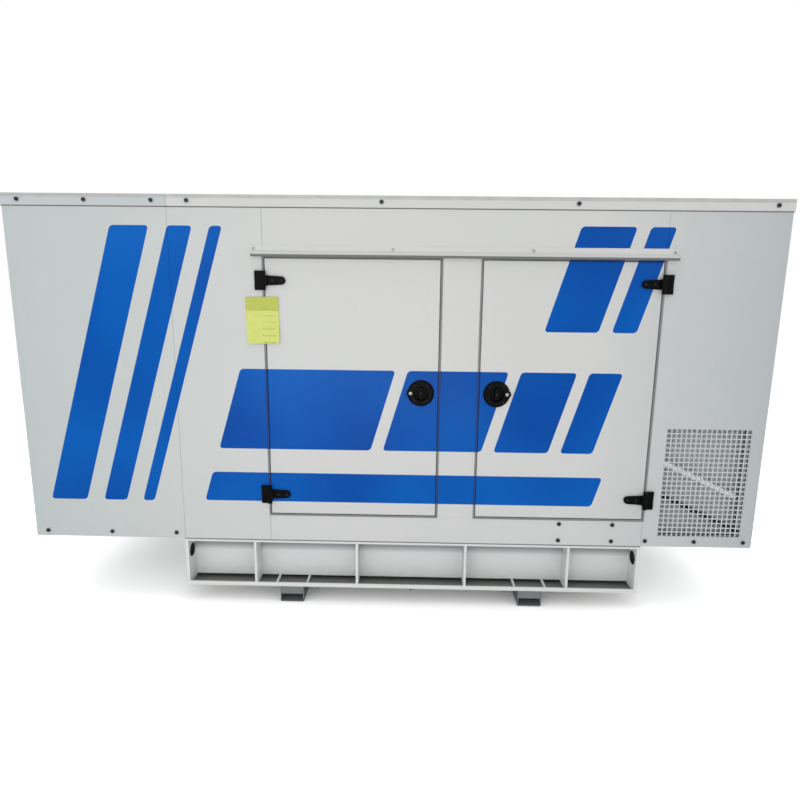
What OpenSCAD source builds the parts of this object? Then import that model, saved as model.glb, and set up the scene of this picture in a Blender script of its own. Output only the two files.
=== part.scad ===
// Enclosed diesel generator set: a sound-proofed sheet-steel canopy on a shorter
// skid base with a fuel tank, standing on two cross channels.
// X runs along the set, from the radiator end to the control end. The front faces -Y.
// The origin is on the ground, under the centre of the canopy.

/* [Front wall, from the radiator end] */
// Length of the radiator section of the wall
cooling_l = 634; // [600:1:680]
// Length of the fixed panel beside the left doorway
fixed_l = 364; // [320:1:400]
// Width of the left doorway
left_way_w = 693; // [640:1:720]
// Width of the post between the doorways
post_w = 154; // [130:1:200]
// Width of the right doorway
right_way_w = 699; // [640:1:720]
// Length of the air intake section of the wall
intake_l = 456; // [445:1:520]

/* [Canopy] */
// Width of the canopy, outside
canopy_w = 1100; // [1060:10:1200]
// Height of the canopy above the base
canopy_h = 1390; // [1360:10:1450]
// Height of the sill under the doorways
sill_h = 112; // [90:1:130]
// Height of the doorways
way_h = 1051; // [1010:1:1070]
// Thickness of the panel sheet
sheet_t = 2; // [1.5:0.5:3]
// Depth of each panel's folded edge, which is filled with foam
wall_d = 32; // [28:1:40]
// Radius of the doors' folds
fold_r = 3; // [2.5:0.5:4]
// Height of the roof's turned-down rim
rim_h = 44; // [36:1:50]
// How far the rim stands out from the walls
rim_proud = 3; // [2:0.5:5]

/* [Drip rail] */
// Height of the drip rail over the doors
drip_h = 43; // [36:1:50]
// How far the drip rail stands out
drip_out = 20; // [14:1:26]
// How far the drip rail runs on past the doorways
drip_over = 42; // [30:1:50]

/* [Doors] */
// Gap all round a closed door
door_gap = 6; // [5:0.5:8]
// Distance from a door's top or bottom edge to its hinge's centre
hinge_inset = 85; // [70:1:110]
// Height of the fixed hinge leaf
leaf_h = 74; // [66:1:84]
// Width of the fixed hinge leaf
leaf_w = 34; // [28:1:40]
// Height of the hinge strap on the door
strap_h = 40; // [34:1:46]
// Length of the hinge strap from the pin
strap_l = 84; // [70:1:100]
// Thickness of the hinge plates
hinge_t = 7; // [5:1:9]
// Distance of the hinge pin in front of the wall
pin_out = 13; // [12:1:18]
// Radius of the hinge knuckles
knuckle_r = 9; // [8:0.5:11]
// Radius of the hinge pin
pin_r = 4; // [3:0.5:5]
// How far the door stops reach into the doorways
stop_w = 22; // [16:1:28]
// Room for the rubber seal between a door and its stop
seal_d = 5; // [5:0.5:7]

/* [Latches] */
// Outer radius of the round latch
latch_r = 53; // [50:1:58]
// Radius of the hollow that holds the handle
dish_r = 30; // [28:1:31]
// Distance of the key cylinder from the latch's centre
key_out = 41; // [40:1:43]
// Radius of the key cylinder
key_r = 7.5; // [6.5:0.5:8]
// How far the latch stands out from the door
latch_out = 11; // [9:1:14]
// Depth of the hollow behind the door's face
dish_d = 15; // [14:1:18]
// Distance from the door's free edge to the latch's centre
latch_inset = 68; // [62:1:80]
// Height of the latch's centre above the canopy's bottom edge
latch_z = 636; // [560:1:720]
// Length of the turning handle
handle_l = 48; // [42:1:50]
// Width of the turning handle
handle_w = 14; // [12:1:16]
// Radius of the handle's spindle
spindle_r = 6; // [5:0.5:6.5]

/* [Grille] */
// Side of each square hole in the perforated sheet
hole_w = 15; // [13:0.5:16]
// Pitch of the holes
hole_pitch = 20; // [19:0.5:20]
// Number of holes along the grille
hole_cols = 17; // [15:1:17]
// Number of holes up the grille
hole_rows = 23; // [21:1:24]
// Thickness of the perforated sheet
grille_t = 2; // [1.5:0.5:3]
// Distance from the right doorway to the grille
grille_inset = 65; // [60:1:70]
// Height of the grille above the canopy's bottom edge
grille_z = 45; // [40:1:60]

/* [Base] */
// Length of the base
base_l = 1917; // [1860:1:1940]
// Distance from the canopy's radiator end to the base
base_inset = 629; // [600:1:660]
// Height of the base
base_h = 216; // [200:1:240]
// Distance of the base's sides inside the canopy's
base_in = 5; // [3:1:10]
// Thickness of the deck plate and of its lips
deck_t = 5; // [4:0.5:6]
// Height of the deck's turned-down lip
lip_h = 16; // [12:1:22]
// Depth of the side recesses
recess_d = 85; // [70:1:100]
// Height of the bottom rail's standing leg
rail_h = 17; // [15:1:24]
// Thickness of the bottom rail
rail_t = 5; // [4:0.5:6]
// How far the bottom rail reaches under the tank
rail_lap = 20; // [10:1:40]
// Wall of the feet
tube_t = 3; // [2.5:0.5:4]
// Thickness of the ribs
rib_t = 10; // [8:1:12]
// Distance between the two inner ribs
rib_inner = 459; // [430:1:480]
// Distance from each inner rib to the outer one
rib_outer = 432; // [400:1:440]
// Thickness of the end plates
end_t = 12; // [10:1:16]
// Radius of the lifting holes in the end plates
lift_r = 28; // [22:1:32]
// Distance of the lifting holes' centres under the deck
lift_drop = 74; // [60:1:90]

/* [Feet] */
// Height of the feet
foot_h = 70; // [60:1:90]
// Width of the feet
foot_w = 100; // [88:1:110]
// Distance between the feet's centres
foot_pitch = 1018; // [960:1:1060]

/* [Engine and alternator] */
// Height of the crankshaft above the deck
shaft_z = 330; // [320:1:350]
// Height of the skid beams on the deck
skid_h = 80; // [70:1:90]
// Thickness of the radiator
radiator_t = 110; // [90:1:130]
// Width of the radiator
radiator_w = 700; // [640:10:760]
// Height of the radiator
radiator_h = 860; // [840:10:900]
// Radius of the fan
fan_r = 265; // [240:1:290]
// Depth of the fan's shroud
shroud_d = 80; // [70:1:90]
// Length of the engine block
block_l = 700; // [660:1:720]
// Length of the flywheel housing
flywheel_l = 90; // [80:1:110]
// Length of the alternator
alternator_l = 600; // [540:1:620]
// Radius of the alternator's body
alternator_r = 215; // [200:1:225]
// Radius of the air filter
filter_r = 92; // [80:1:100]
// Length of the air filter
filter_l = 360; // [320:1:400]
// Radius of the silencer
silencer_r = 120; // [105:1:130]
// Length of the silencer
silencer_l = 760; // [700:10:820]
// Width of the control cabinet
cabinet_w = 340; // [300:5:380]
// Height of the control cabinet
cabinet_h = 456; // [420:1:480]
// Depth of the control cabinet
cabinet_d = 190; // [160:5:205]

/* [Hidden] */

// Plan
canopy_l = cooling_l + fixed_l + left_way_w + post_w + right_way_w + intake_l;
x_left = -canopy_l / 2;
x_right = canopy_l / 2;
left_way_x = x_left + cooling_l + fixed_l;
post_x = left_way_x + left_way_w;
right_way_x = post_x + post_w;
intake_x = right_way_x + right_way_w;
half_w = canopy_w / 2;
base_x = x_left + base_inset;
base_end_x = base_x + base_l;
base_mid_x = base_x + base_l / 2;
base_half_w = half_w - base_in;

// Levels
base_z = foot_h;
deck_z = foot_h + base_h;
top_z = deck_z + canopy_h;
way_z = deck_z + sill_h;
way_top_z = way_z + way_h;
wall_h = canopy_h - sheet_t;
roof_joint = 1;
panel_joint = 0.8;

// Doors and hinges
door_h = way_h - 2 * door_gap;
left_door_w = left_way_w - 2 * door_gap;
right_door_w = right_way_w - 2 * door_gap;
pin_y = -half_w - pin_out;
left_pin_x = left_way_x + door_gap / 2;
right_pin_x = intake_x - door_gap / 2;
hinge_zs = [way_z + door_gap + hinge_inset, way_top_z - door_gap - hinge_inset];
running = 0.1;
seat = 0.3;
left_latch_x = left_way_x + left_way_w - door_gap - latch_inset;
right_latch_x = right_way_x + door_gap + latch_inset;
latch_hole_r = dish_r + 5;
latch_floor = 6;
handle_clear = 6;

// Grille
grille_w = hole_cols * hole_pitch;
grille_h = hole_rows * hole_pitch;
grille_x = intake_x + grille_inset;
grille_edge = 12;

// Engine room
service_w = 300;
skid_y = half_w - service_w;
skid_w = 60;
skid_top = deck_z + skid_h;
crank_z = deck_z + shaft_z;
tray_lap = 10;
tray_h = 30;
radiator_x = base_x + tray_lap + 2;
radiator_tank = 90;
radiator_post = 30;
radiator_foot = 50;
fan_w = 46;
fan_clear = 15;
fan_set = 50;
fan_gap = 54;
pulley_gap = 140;
fan_z = crank_z + pulley_gap;
shroud_x = radiator_x + radiator_t;
fan_x = shroud_x + shroud_d - fan_set;
block_x = fan_x + fan_w + fan_gap;
flywheel_x = block_x + block_l;
alternator_x = flywheel_x + flywheel_l;
foot_drop = shaft_z - skid_h;
machine_foot_y = skid_y + skid_w / 2;

cabinet_headroom = 57;
cabinet_inset = 90;
cabinet_clear = 26;
cabinet_leg = 40;
cabinet_z = top_z - wall_d - cabinet_headroom - cabinet_h;
cabinet_x = base_end_x - cabinet_inset - cabinet_w;
cabinet_y = -half_w + wall_d + cabinet_clear;

// Engine, measured from the crankshaft
block_half_w = 190;
head_half_w = 130;
head_z = 320;
head_h = 110;
bore_pitch = 150;
bore_count = 4;
exhaust_y = 185;
exhaust_r = 34;
intake_y = -190;
intake_r = 40;
manifold_z = 390;
manifold_flange_z = 460;
thermostat_x = 60;
thermostat_h = 30;
filter_y = -180;
filter_z = 640;
filter_out_x = 560;

module both_sides() {
    children();
    mirror([0, 1, 0]) children();
}

// A folded panel of the front wall: a sheet with its edges turned in all round, and an
// open joint at its right edge, where the next panel starts
module pan(x, w, z, h) {
    pan_w = w - panel_joint;
    translate([x, -half_w, z]) difference() {
        cube([pan_w, wall_d, h]);
        translate([sheet_t, sheet_t, sheet_t])
            cube([pan_w - 2 * sheet_t, wall_d, h - 2 * sheet_t]);
    }
}

// The foam that fills a folded panel
module pan_fill(x, w, z, h) {
    translate([x + sheet_t, -half_w + sheet_t, z + sheet_t])
        cube([w - panel_joint - 2 * sheet_t, wall_d - sheet_t, h - 2 * sheet_t]);
}

// ---- Roof and walls ----

// A length of roof: a sheet with a rim turned down on its outer sides
module roof_length(x, l) {
    intersection() {
        difference() {
            translate([x_left - rim_proud, -half_w - rim_proud, top_z - rim_h])
                cube([canopy_l + 2 * rim_proud, canopy_w + 2 * rim_proud, rim_h]);
            translate([x_left, -half_w, top_z - rim_h - 1])
                cube([canopy_l, canopy_w, rim_h + 1 - sheet_t]);
        }
        translate([x, -canopy_w, top_z - 2 * rim_h]) cube([l, 2 * canopy_w, 3 * rim_h]);
    }
}

module cooling_roof() {
    color("gainsboro") roof_length(x_left - rim_proud, cooling_l + rim_proud - roof_joint);
}

module main_roof() {
    color("gainsboro")
        roof_length(x_left + cooling_l, canopy_l - cooling_l + rim_proud);
}

module roof_lining() {
    color("dimgray")
        translate([x_left + wall_d, -half_w + wall_d, top_z - wall_d])
            cube([canopy_l - 2 * wall_d, canopy_w - 2 * wall_d, wall_d - sheet_t]);
}

module cooling_panels() {
    color("gainsboro") both_sides() pan(x_left, cooling_l, deck_z, wall_h);
}

module fixed_panels() {
    color("gainsboro") both_sides() pan(x_left + cooling_l, fixed_l, deck_z, wall_h);
}

header_l = left_way_w + post_w + right_way_w;
header_h = wall_h - sill_h - way_h;

module header_panels() {
    color("gainsboro") both_sides() pan(left_way_x, header_l, way_top_z, header_h);
}

module sill_panels() {
    color("gainsboro") both_sides() pan(left_way_x, header_l, deck_z, sill_h);
}

module centre_posts() {
    color("gainsboro") both_sides() pan(post_x, post_w, way_z, way_h);
}

// The hole in the intake panel and its lining, behind which the grille sits
module grille_way() {
    translate([grille_x, -half_w - 1, deck_z + grille_z])
        cube([grille_w, wall_d + 2, grille_h]);
}

module intake_panels() {
    color("gainsboro") both_sides() difference() {
        pan(intake_x, intake_l, deck_z, wall_h);
        grille_way();
    }
}

module grille_seat() {
    translate([grille_x - grille_edge, -half_w + sheet_t, deck_z + grille_z - grille_edge])
        cube([grille_w + 2 * grille_edge, grille_t, grille_h + 2 * grille_edge]);
}

// Perforated sheet: square holes on a square pitch, seated behind the panel's sheet
module grille() {
    translate([grille_x, -half_w + sheet_t + grille_t, deck_z + grille_z]) rotate([90, 0, 0])
        linear_extrude(grille_t) difference() {
            translate([-grille_edge, -grille_edge])
                square([grille_w + 2 * grille_edge, grille_h + 2 * grille_edge]);
            for (i = [0 : hole_cols - 1], k = [0 : hole_rows - 1])
                translate([(i + 0.5) * hole_pitch, (k + 0.5) * hole_pitch])
                    square(hole_w, center = true);
        }
}

module front_grille() {
    color("silver") grille();
}

module rear_grille() {
    color("silver") mirror([0, 1, 0]) grille();
}

module wall_linings() {
    color("dimgray") {
        both_sides() {
            pan_fill(x_left, cooling_l, deck_z, wall_h);
            pan_fill(x_left + cooling_l, fixed_l, deck_z, wall_h);
            pan_fill(left_way_x, header_l, way_top_z, header_h);
            pan_fill(left_way_x, header_l, deck_z, sill_h);
            pan_fill(post_x, post_w, way_z, way_h);
            difference() {
                pan_fill(intake_x, intake_l, deck_z, wall_h);
                grille_way();
                grille_seat();
            }
        }
        end_fill(x_right - wall_d);
        difference() {
            end_fill(x_left + sheet_t);
            louvre_way();
        }
    }
}

// Folded strip that throws rain clear of the doors: a leaf on the header, a kick and a lip
module drip_rails() {
    lip = 8;
    kick_top = drip_h * 0.56;
    color("whitesmoke") both_sides()
        translate([left_way_x - drip_over, -half_w, way_top_z]) rotate([90, 0, 90])
            linear_extrude(header_l + 2 * drip_over)
                polygon([
                    [0, drip_h], [-sheet_t, drip_h], [-sheet_t, kick_top],
                    [-drip_out, lip], [-drip_out, 0], [-drip_out + sheet_t, 0],
                    [-drip_out + sheet_t, lip - 0.5], [0, kick_top - 1.5]
                ]);
}

// ---- End walls, with the air outlet at the radiator end ----
end_w = canopy_w - 2 * wall_d;
louvre_w = 760;
louvre_h = 900;
louvre_z = 190;
blade_count = 14;
blade_t = 2;

module end_fill(x) {
    translate([x, -end_w / 2 + sheet_t, deck_z + sheet_t])
        cube([wall_d - sheet_t, end_w - 2 * sheet_t, wall_h - 2 * sheet_t]);
}

module louvre_way() {
    translate([x_left - 1, -louvre_w / 2, deck_z + louvre_z])
        cube([wall_d + 2, louvre_w, louvre_h]);
}

module left_end_wall() {
    color("gainsboro") difference() {
        translate([x_left, -end_w / 2, deck_z]) cube([wall_d, end_w, wall_h]);
        translate([x_left + sheet_t, -end_w / 2 + sheet_t, deck_z + sheet_t])
            cube([wall_d, end_w - 2 * sheet_t, wall_h - 2 * sheet_t]);
        louvre_way();
    }
}

module right_end_wall() {
    color("gainsboro") difference() {
        translate([x_right - wall_d, -end_w / 2, deck_z]) cube([wall_d, end_w, wall_h]);
        translate([x_right - wall_d - sheet_t, -end_w / 2 + sheet_t, deck_z + sheet_t])
            cube([wall_d, end_w - 2 * sheet_t, wall_h - 2 * sheet_t]);
    }
}

// A frame with sloping blades that shed rain outwards
module discharge_louvre() {
    frame_d = wall_d - sheet_t;
    pitch = louvre_h / blade_count;
    color("silver") translate([x_left + sheet_t, 0, deck_z + louvre_z]) {
        difference() {
            translate([0, -louvre_w / 2, 0]) cube([frame_d, louvre_w, louvre_h]);
            translate([-1, -louvre_w / 2 + blade_t, blade_t])
                cube([frame_d + 2, louvre_w - 2 * blade_t, louvre_h - 2 * blade_t]);
        }
        for (k = [0 : blade_count - 1])
            translate([0, louvre_w / 2, (k + 0.25) * pitch]) rotate([90, 0, 0])
                linear_extrude(louvre_w)
                    polygon([
                        [0, 0], [0, blade_t], [frame_d, blade_t + pitch * 0.6],
                        [frame_d, pitch * 0.6]
                    ]);
    }
}

// Trays that close the canopy under its two overhangs and lap onto the deck
module floor_pans() {
    module tray(x, l) {
        translate([x, -end_w / 2, deck_z]) difference() {
            cube([l, end_w, tray_h]);
            translate([sheet_t, sheet_t, sheet_t])
                cube([l - 2 * sheet_t, end_w - 2 * sheet_t, tray_h]);
        }
    }
    color("silver") {
        tray(x_left + wall_d, base_inset + tray_lap - wall_d);
        tray(base_end_x - tray_lap, x_right - wall_d - base_end_x + tray_lap);
    }
}

// Sound baffles across the intake. A standing sheet in the floor tray carries a sloping
// plate and, under it, a sloping sheet that stops short of the end wall. Both reach past a
// cheek sheet behind each grille, over which the air has to climb.
module intake_baffles() {
    stand_x = intake_x + 62;
    stand_h = 370;
    plate_t = 18;
    plate_l = 310;
    low_h = 230;
    fall = 0.465;
    clear = 12;
    slot_h = 9;
    cheek_set = 26;
    cheek_h = grille_z + grille_h + 30;
    low_l = x_right - wall_d - clear - stand_x;
    low_drop = low_l * fall;
    baffle_w = end_w - 2 * sheet_t - 2 * seat;
    color("silver") translate([stand_x, baffle_w / 2, deck_z + sheet_t]) rotate([90, 0, 0]) {
        linear_extrude(baffle_w) {
            square([sheet_t, stand_h]);
            polygon([
                [0, stand_h], [plate_l, stand_h - plate_l * fall],
                [plate_l, stand_h - plate_l * fall - plate_t], [0, stand_h - plate_t]
            ]);
            polygon([
                [0, low_h], [low_l, low_h - low_drop],
                [low_l, low_h - low_drop - sheet_t], [0, low_h - sheet_t]
            ]);
        }
        for (z = [cheek_set, baffle_w - cheek_set - sheet_t])
            translate([0, 0, z]) linear_extrude(sheet_t) {
                polygon([
                    [0, 0], [low_l, 0], [low_l, low_h - low_drop - sheet_t - slot_h],
                    [0, low_h - sheet_t - slot_h]
                ]);
                polygon([[0, low_h - sheet_t], [low_l, low_h - low_drop - sheet_t],
                    [low_l, cheek_h], [0, cheek_h]]);
            }
    }
}

// ---- Hinges ----

// Fixed leaf with its two knuckles and the pin, at the origin on the pin's axis
module leaf() {
    knuckle_h = (leaf_h - strap_h) / 2 - seat;
    translate([-leaf_w - 2, pin_out - hinge_t, -leaf_h / 2])
        cube([leaf_w + 1 - knuckle_r, hinge_t, leaf_h]);
    for (s = [-1, 1])
        translate([0, 0, s * (leaf_h - knuckle_h) / 2]) {
            cylinder(r = knuckle_r, h = knuckle_h, center = true, $fn = 40);
            translate([-leaf_w / 2, (pin_out - hinge_t) / 2 + 1, 0])
                cube([leaf_w, pin_out - hinge_t + 2, knuckle_h], center = true);
        }
    cylinder(r = pin_r, h = leaf_h, center = true, $fn = 32);
}

// Strap that carries the door: a knuckle, a web and a tapering plate with a round end
module strap() {
    end_r = strap_h * 0.4;
    difference() {
        union() {
            cylinder(r = knuckle_r, h = strap_h - 2 * seat, center = true, $fn = 40);
            translate([0, pin_out, 0]) rotate([90, 0, 0])
                linear_extrude(hinge_t + 2) {
                    polygon([
                        [5, -strap_h / 2 + seat], [strap_l - end_r, -end_r],
                        [strap_l - end_r, end_r], [5, strap_h / 2 - seat]
                    ]);
                    translate([strap_l - end_r, 0]) circle(r = end_r, $fn = 40);
                }
            translate([0, -knuckle_r + 2, -strap_h / 2 + seat])
                cube([14, pin_out + knuckle_r - 2, strap_h - 2 * seat]);
        }
        cylinder(r = pin_r + running, h = strap_h + 2, center = true, $fn = 32);
    }
}

module at_hinges(x) {
    for (z = hinge_zs) translate([x, pin_y, z]) children();
}

module hinge_leaves() {
    color("#1c1c1e") {
        at_hinges(left_pin_x) leaf();
        at_hinges(right_pin_x) mirror([1, 0, 0]) leaf();
    }
}

module left_hinge_straps() {
    color("#1c1c1e") at_hinges(left_pin_x) strap();
}

module right_hinge_straps() {
    color("#1c1c1e") at_hinges(right_pin_x) mirror([1, 0, 0]) strap();
}

module rear_hinges() {
    color("#1c1c1e") mirror([0, 1, 0]) {
        at_hinges(left_pin_x) {
            leaf();
            strap();
        }
        at_hinges(right_pin_x) mirror([1, 0, 0]) {
            leaf();
            strap();
        }
    }
}

// ---- Latches ----

// Round latch body with a hollow for the handle and an ear for the key, on the origin
module latch_body() {
    ear_r = 16;
    difference() {
        union() {
            rotate([90, 0, 0]) rotate_extrude($fn = 64)
                polygon([[0, 0], [latch_r, 0], [latch_r, 3], [latch_r - 7, latch_out], [0, latch_out]]);
            rotate([-90, 0, 0])
                cylinder(r = latch_hole_r - 1, h = dish_d + latch_floor, $fn = 64);
            translate([-key_out, 0, 0]) rotate([90, 0, 0])
                cylinder(r = ear_r, h = latch_out - 1, $fn = 40);
        }
        translate([0, dish_d, 0]) rotate([90, 0, 0])
            cylinder(r = dish_r, h = dish_d + latch_out + 1, $fn = 64);
        translate([0, dish_d + latch_floor + 1, 0]) rotate([90, 0, 0])
            cylinder(r = spindle_r + running, h = latch_floor + 2, $fn = 40);
    }
    translate([-key_out, 0, 0]) rotate([90, 0, 0])
        cylinder(r = key_r, h = latch_out + 1, $fn = 32);
}

// Wing handle in the hollow, on a spindle through the latch's floor
module wing_handle() {
    grip_out = latch_out - 2;
    grip_back = dish_d - handle_clear;
    translate([0, grip_back, 0]) rotate([90, 0, 0]) linear_extrude(grip_out + grip_back) {
        square([handle_w, handle_l - handle_w], center = true);
        for (s = [-1, 1])
            translate([0, s * (handle_l - handle_w) / 2]) circle(d = handle_w, $fn = 40);
    }
    translate([0, dish_d + latch_floor + 3, 0]) rotate([90, 0, 0])
        cylinder(r = spindle_r, h = dish_d + latch_floor + 3, $fn = 40);
}

module at_latch(x) {
    translate([x, -half_w, deck_z + latch_z]) children();
}

module left_latch() {
    color("#1c1c1e") at_latch(left_latch_x) latch_body();
}

module right_latch() {
    color("#1c1c1e") at_latch(right_latch_x) mirror([1, 0, 0]) latch_body();
}

module left_handle() {
    color("#2a2a2c") at_latch(left_latch_x) wing_handle();
}

module right_handle() {
    color("#2a2a2c") at_latch(right_latch_x) wing_handle();
}

// A latch whose handle doesn't turn
module fixed_latch() {
    latch_body();
    wing_handle();
    translate([0, dish_d + latch_floor, 0]) rotate([90, 0, 0])
        cylinder(r = spindle_r + 3, h = latch_floor, $fn = 40);
}

module rear_latches() {
    color("#1c1c1e") mirror([0, 1, 0]) {
        at_latch(left_latch_x) fixed_latch();
        at_latch(right_latch_x) mirror([1, 0, 0]) fixed_latch();
    }
}

// ---- Doors ----

module latch_way(x, r) {
    at_latch(x) translate([0, -1, 0]) rotate([-90, 0, 0])
        cylinder(r = r, h = wall_d + 2, $fn = 64);
}

// Outline of a folded sheet whose two front corners are round
module fold_outline(l) {
    translate([fold_r, 0]) square([l - 2 * fold_r, wall_d]);
    translate([0, fold_r]) square([l, wall_d - fold_r]);
    for (x = [fold_r, l - fold_r]) translate([x, fold_r]) circle(r = fold_r, $fn = 32);
}

// A door's sheet: a pan with round folds and a hole for the latch
module door_pan(x, w, latch_x) {
    difference() {
        translate([x + door_gap, -half_w, way_z + door_gap]) difference() {
            intersection() {
                linear_extrude(door_h) fold_outline(w);
                translate([w, 0, 0]) rotate([0, -90, 0]) linear_extrude(w) fold_outline(door_h);
            }
            translate([sheet_t, sheet_t, sheet_t])
                cube([w - 2 * sheet_t, wall_d, door_h - 2 * sheet_t]);
        }
        latch_way(latch_x, latch_hole_r);
    }
}

module door_fill(x, w, latch_x) {
    difference() {
        pan_fill(x + door_gap, w, way_z + door_gap, door_h);
        latch_way(latch_x, latch_hole_r + 1);
    }
}

module left_door() {
    color("gainsboro") door_pan(left_way_x, left_door_w, left_latch_x);
}

module left_door_lining() {
    color("dimgray") door_fill(left_way_x, left_door_w, left_latch_x);
}

module right_door() {
    color("gainsboro") door_pan(right_way_x, right_door_w, right_latch_x);
}

module right_door_lining() {
    color("dimgray") door_fill(right_way_x, right_door_w, right_latch_x);
}

// Bars behind each doorway's edges, stepped back to leave room for the door's seal
module stop_bars(x, w) {
    grip = 10;
    module bar(l) {
        linear_extrude(l) polygon([
            [-grip, 0], [0, 0], [0, seal_d], [stop_w, seal_d],
            [stop_w, seal_d + sheet_t], [-grip, seal_d + sheet_t]
        ]);
    }
    cross_l = w - 2 * stop_w - 2 * seat;
    translate([x, -half_w + wall_d, way_z]) {
        bar(way_h);
        translate([w, 0, 0]) mirror([1, 0, 0]) bar(way_h);
        translate([stop_w + seat, 0, 0]) rotate([0, 90, 0]) mirror([1, 0, 0]) bar(cross_l);
        translate([stop_w + seat, 0, way_h]) rotate([0, 90, 0]) bar(cross_l);
    }
}

module door_stops() {
    color("lightgray") both_sides() {
        stop_bars(left_way_x, left_way_w);
        stop_bars(right_way_x, right_way_w);
    }
}

// The rear doors, each with its foam
module rear_doors() {
    color("gainsboro") mirror([0, 1, 0]) {
        door_pan(left_way_x, left_door_w, left_latch_x);
        door_pan(right_way_x, right_door_w, right_latch_x);
        door_fill(left_way_x, left_door_w, left_latch_x);
        door_fill(right_way_x, right_door_w, right_latch_x);
    }
}

// ---- Base ----

// Deck plate with a lip turned down along each side
module deck() {
    color("lightgray") difference() {
        translate([base_x, -base_half_w, deck_z - lip_h]) cube([base_l, 2 * base_half_w, lip_h]);
        translate([base_x - 1, -base_half_w + deck_t, deck_z - lip_h - 1])
            cube([base_l + 2, 2 * (base_half_w - deck_t), lip_h + 1 - deck_t]);
    }
}

tank_half_w = base_half_w - recess_d;
inner_x = base_x + end_t;
inner_l = base_l - 2 * end_t;
tank_z = base_z + 11;
tank_h = deck_z - deck_t - tank_z;

module fuel_tank() {
    color("lightgray") translate([inner_x, -tank_half_w, tank_z])
        cube([inner_l, 2 * tank_half_w, tank_h]);
}

// Angles along both sides: a low standing leg, and a flat leg that runs under the tank
module bottom_rails() {
    color("lightgray") both_sides()
        translate([inner_x, -base_half_w, base_z]) rotate([90, 0, 90])
            linear_extrude(inner_l)
                polygon([
                    [0, 0], [recess_d + rail_lap, 0], [recess_d + rail_lap, rail_t],
                    [rail_t, rail_t], [rail_t, rail_h], [0, rail_h]
                ]);
}

// Ribs that stand in the rail, notched round its leg and round the deck's lip
module side_ribs() {
    offsets = [-rib_inner / 2 - rib_outer, -rib_inner / 2, rib_inner / 2, rib_inner / 2 + rib_outer];
    color("lightgray") both_sides()
        for (dx = offsets)
            translate([base_mid_x + dx - rib_t / 2, -base_half_w, base_z]) rotate([90, 0, 90])
                linear_extrude(rib_t)
                    polygon([
                        [0, rail_h], [rail_t, rail_h], [rail_t, rail_t], [recess_d, rail_t],
                        [recess_d, base_h - deck_t], [deck_t, base_h - deck_t],
                        [deck_t, base_h - lip_h], [0, base_h - lip_h]
                    ]);
}

// Short plates that stand in the rail on both sides of each foot and meet the tank
module tie_plates() {
    tie_t = 8;
    tie_x = foot_w / 2 + 15;
    color("lightgray") both_sides()
        for (s = [-1, 1], k = [-1, 1])
            translate([base_mid_x + s * foot_pitch / 2 + k * tie_x - tie_t / 2,
                    -base_half_w + rail_t, base_z + rail_t])
                cube([tie_t, recess_d - rail_t, rail_h - rail_t]);
}

lift_y = base_half_w - recess_d / 2;
lift_z = deck_z - lift_drop;

module end_plate(x) {
    color("lightgray") difference() {
        translate([x, -base_half_w, base_z])
            cube([end_t, 2 * base_half_w, base_h - lip_h]);
        for (s = [-1, 1])
            translate([x - 1, s * lift_y, lift_z]) rotate([0, 90, 0])
                cylinder(r = lift_r, h = end_t + 2, $fn = 48);
    }
}

module left_end_plate() {
    end_plate(base_x);
}

module right_end_plate() {
    end_plate(base_end_x - end_t);
}

// Cross channels with open ends, half closed by a plate
module feet() {
    color("gray") for (s = [-1, 1])
        translate([base_mid_x + s * foot_pitch / 2 - foot_w / 2, -base_half_w, 0]) {
            difference() {
                cube([foot_w, 2 * base_half_w, foot_h]);
                translate([tube_t, -1, tube_t])
                    cube([foot_w - 2 * tube_t, 2 * base_half_w + 2, foot_h - 2 * tube_t]);
            }
            for (y = [2, 2 * base_half_w - tube_t - 2])
                translate([0, y, foot_h / 2]) cube([foot_w, tube_t, foot_h / 2]);
        }
}

// ---- Engine room ----

// A shape drawn across the machine, with the crankshaft at its origin, run along it
module along(x, l) {
    translate([x, 0, crank_z]) rotate([90, 0, 90]) linear_extrude(l) children();
}

// A shape turned about a line that runs along the machine, from [radius, distance] points
module turned(x, y, z, outline) {
    translate([x, y, z]) rotate([0, 90, 0]) rotate_extrude($fn = 64) polygon(outline);
}

// A quarter bend from level, coming from the left, to straight down, ending at (x, z)
module bend(x, y, z, bend_r, r) {
    translate([x - bend_r, y, z]) rotate([90, 0, 0]) rotate_extrude(angle = 90, $fn = 48)
        translate([bend_r, 0]) circle(r = r, $fn = 40);
}

// Two channels on the deck, open towards the middle, that carry the machine
module skid_beams() {
    skid_t = 7;
    skid_over = 30;
    color("lightgray") both_sides()
        translate([radiator_x, -machine_foot_y, deck_z]) rotate([90, 0, 90])
            linear_extrude(alternator_x + alternator_l + skid_over - radiator_x)
                polygon([
                    [0, 0], [skid_w, 0], [skid_w, skid_t], [skid_t, skid_t],
                    [skid_t, skid_h - skid_t], [skid_w, skid_h - skid_t],
                    [skid_w, skid_h], [0, skid_h]
                ]);
}

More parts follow.
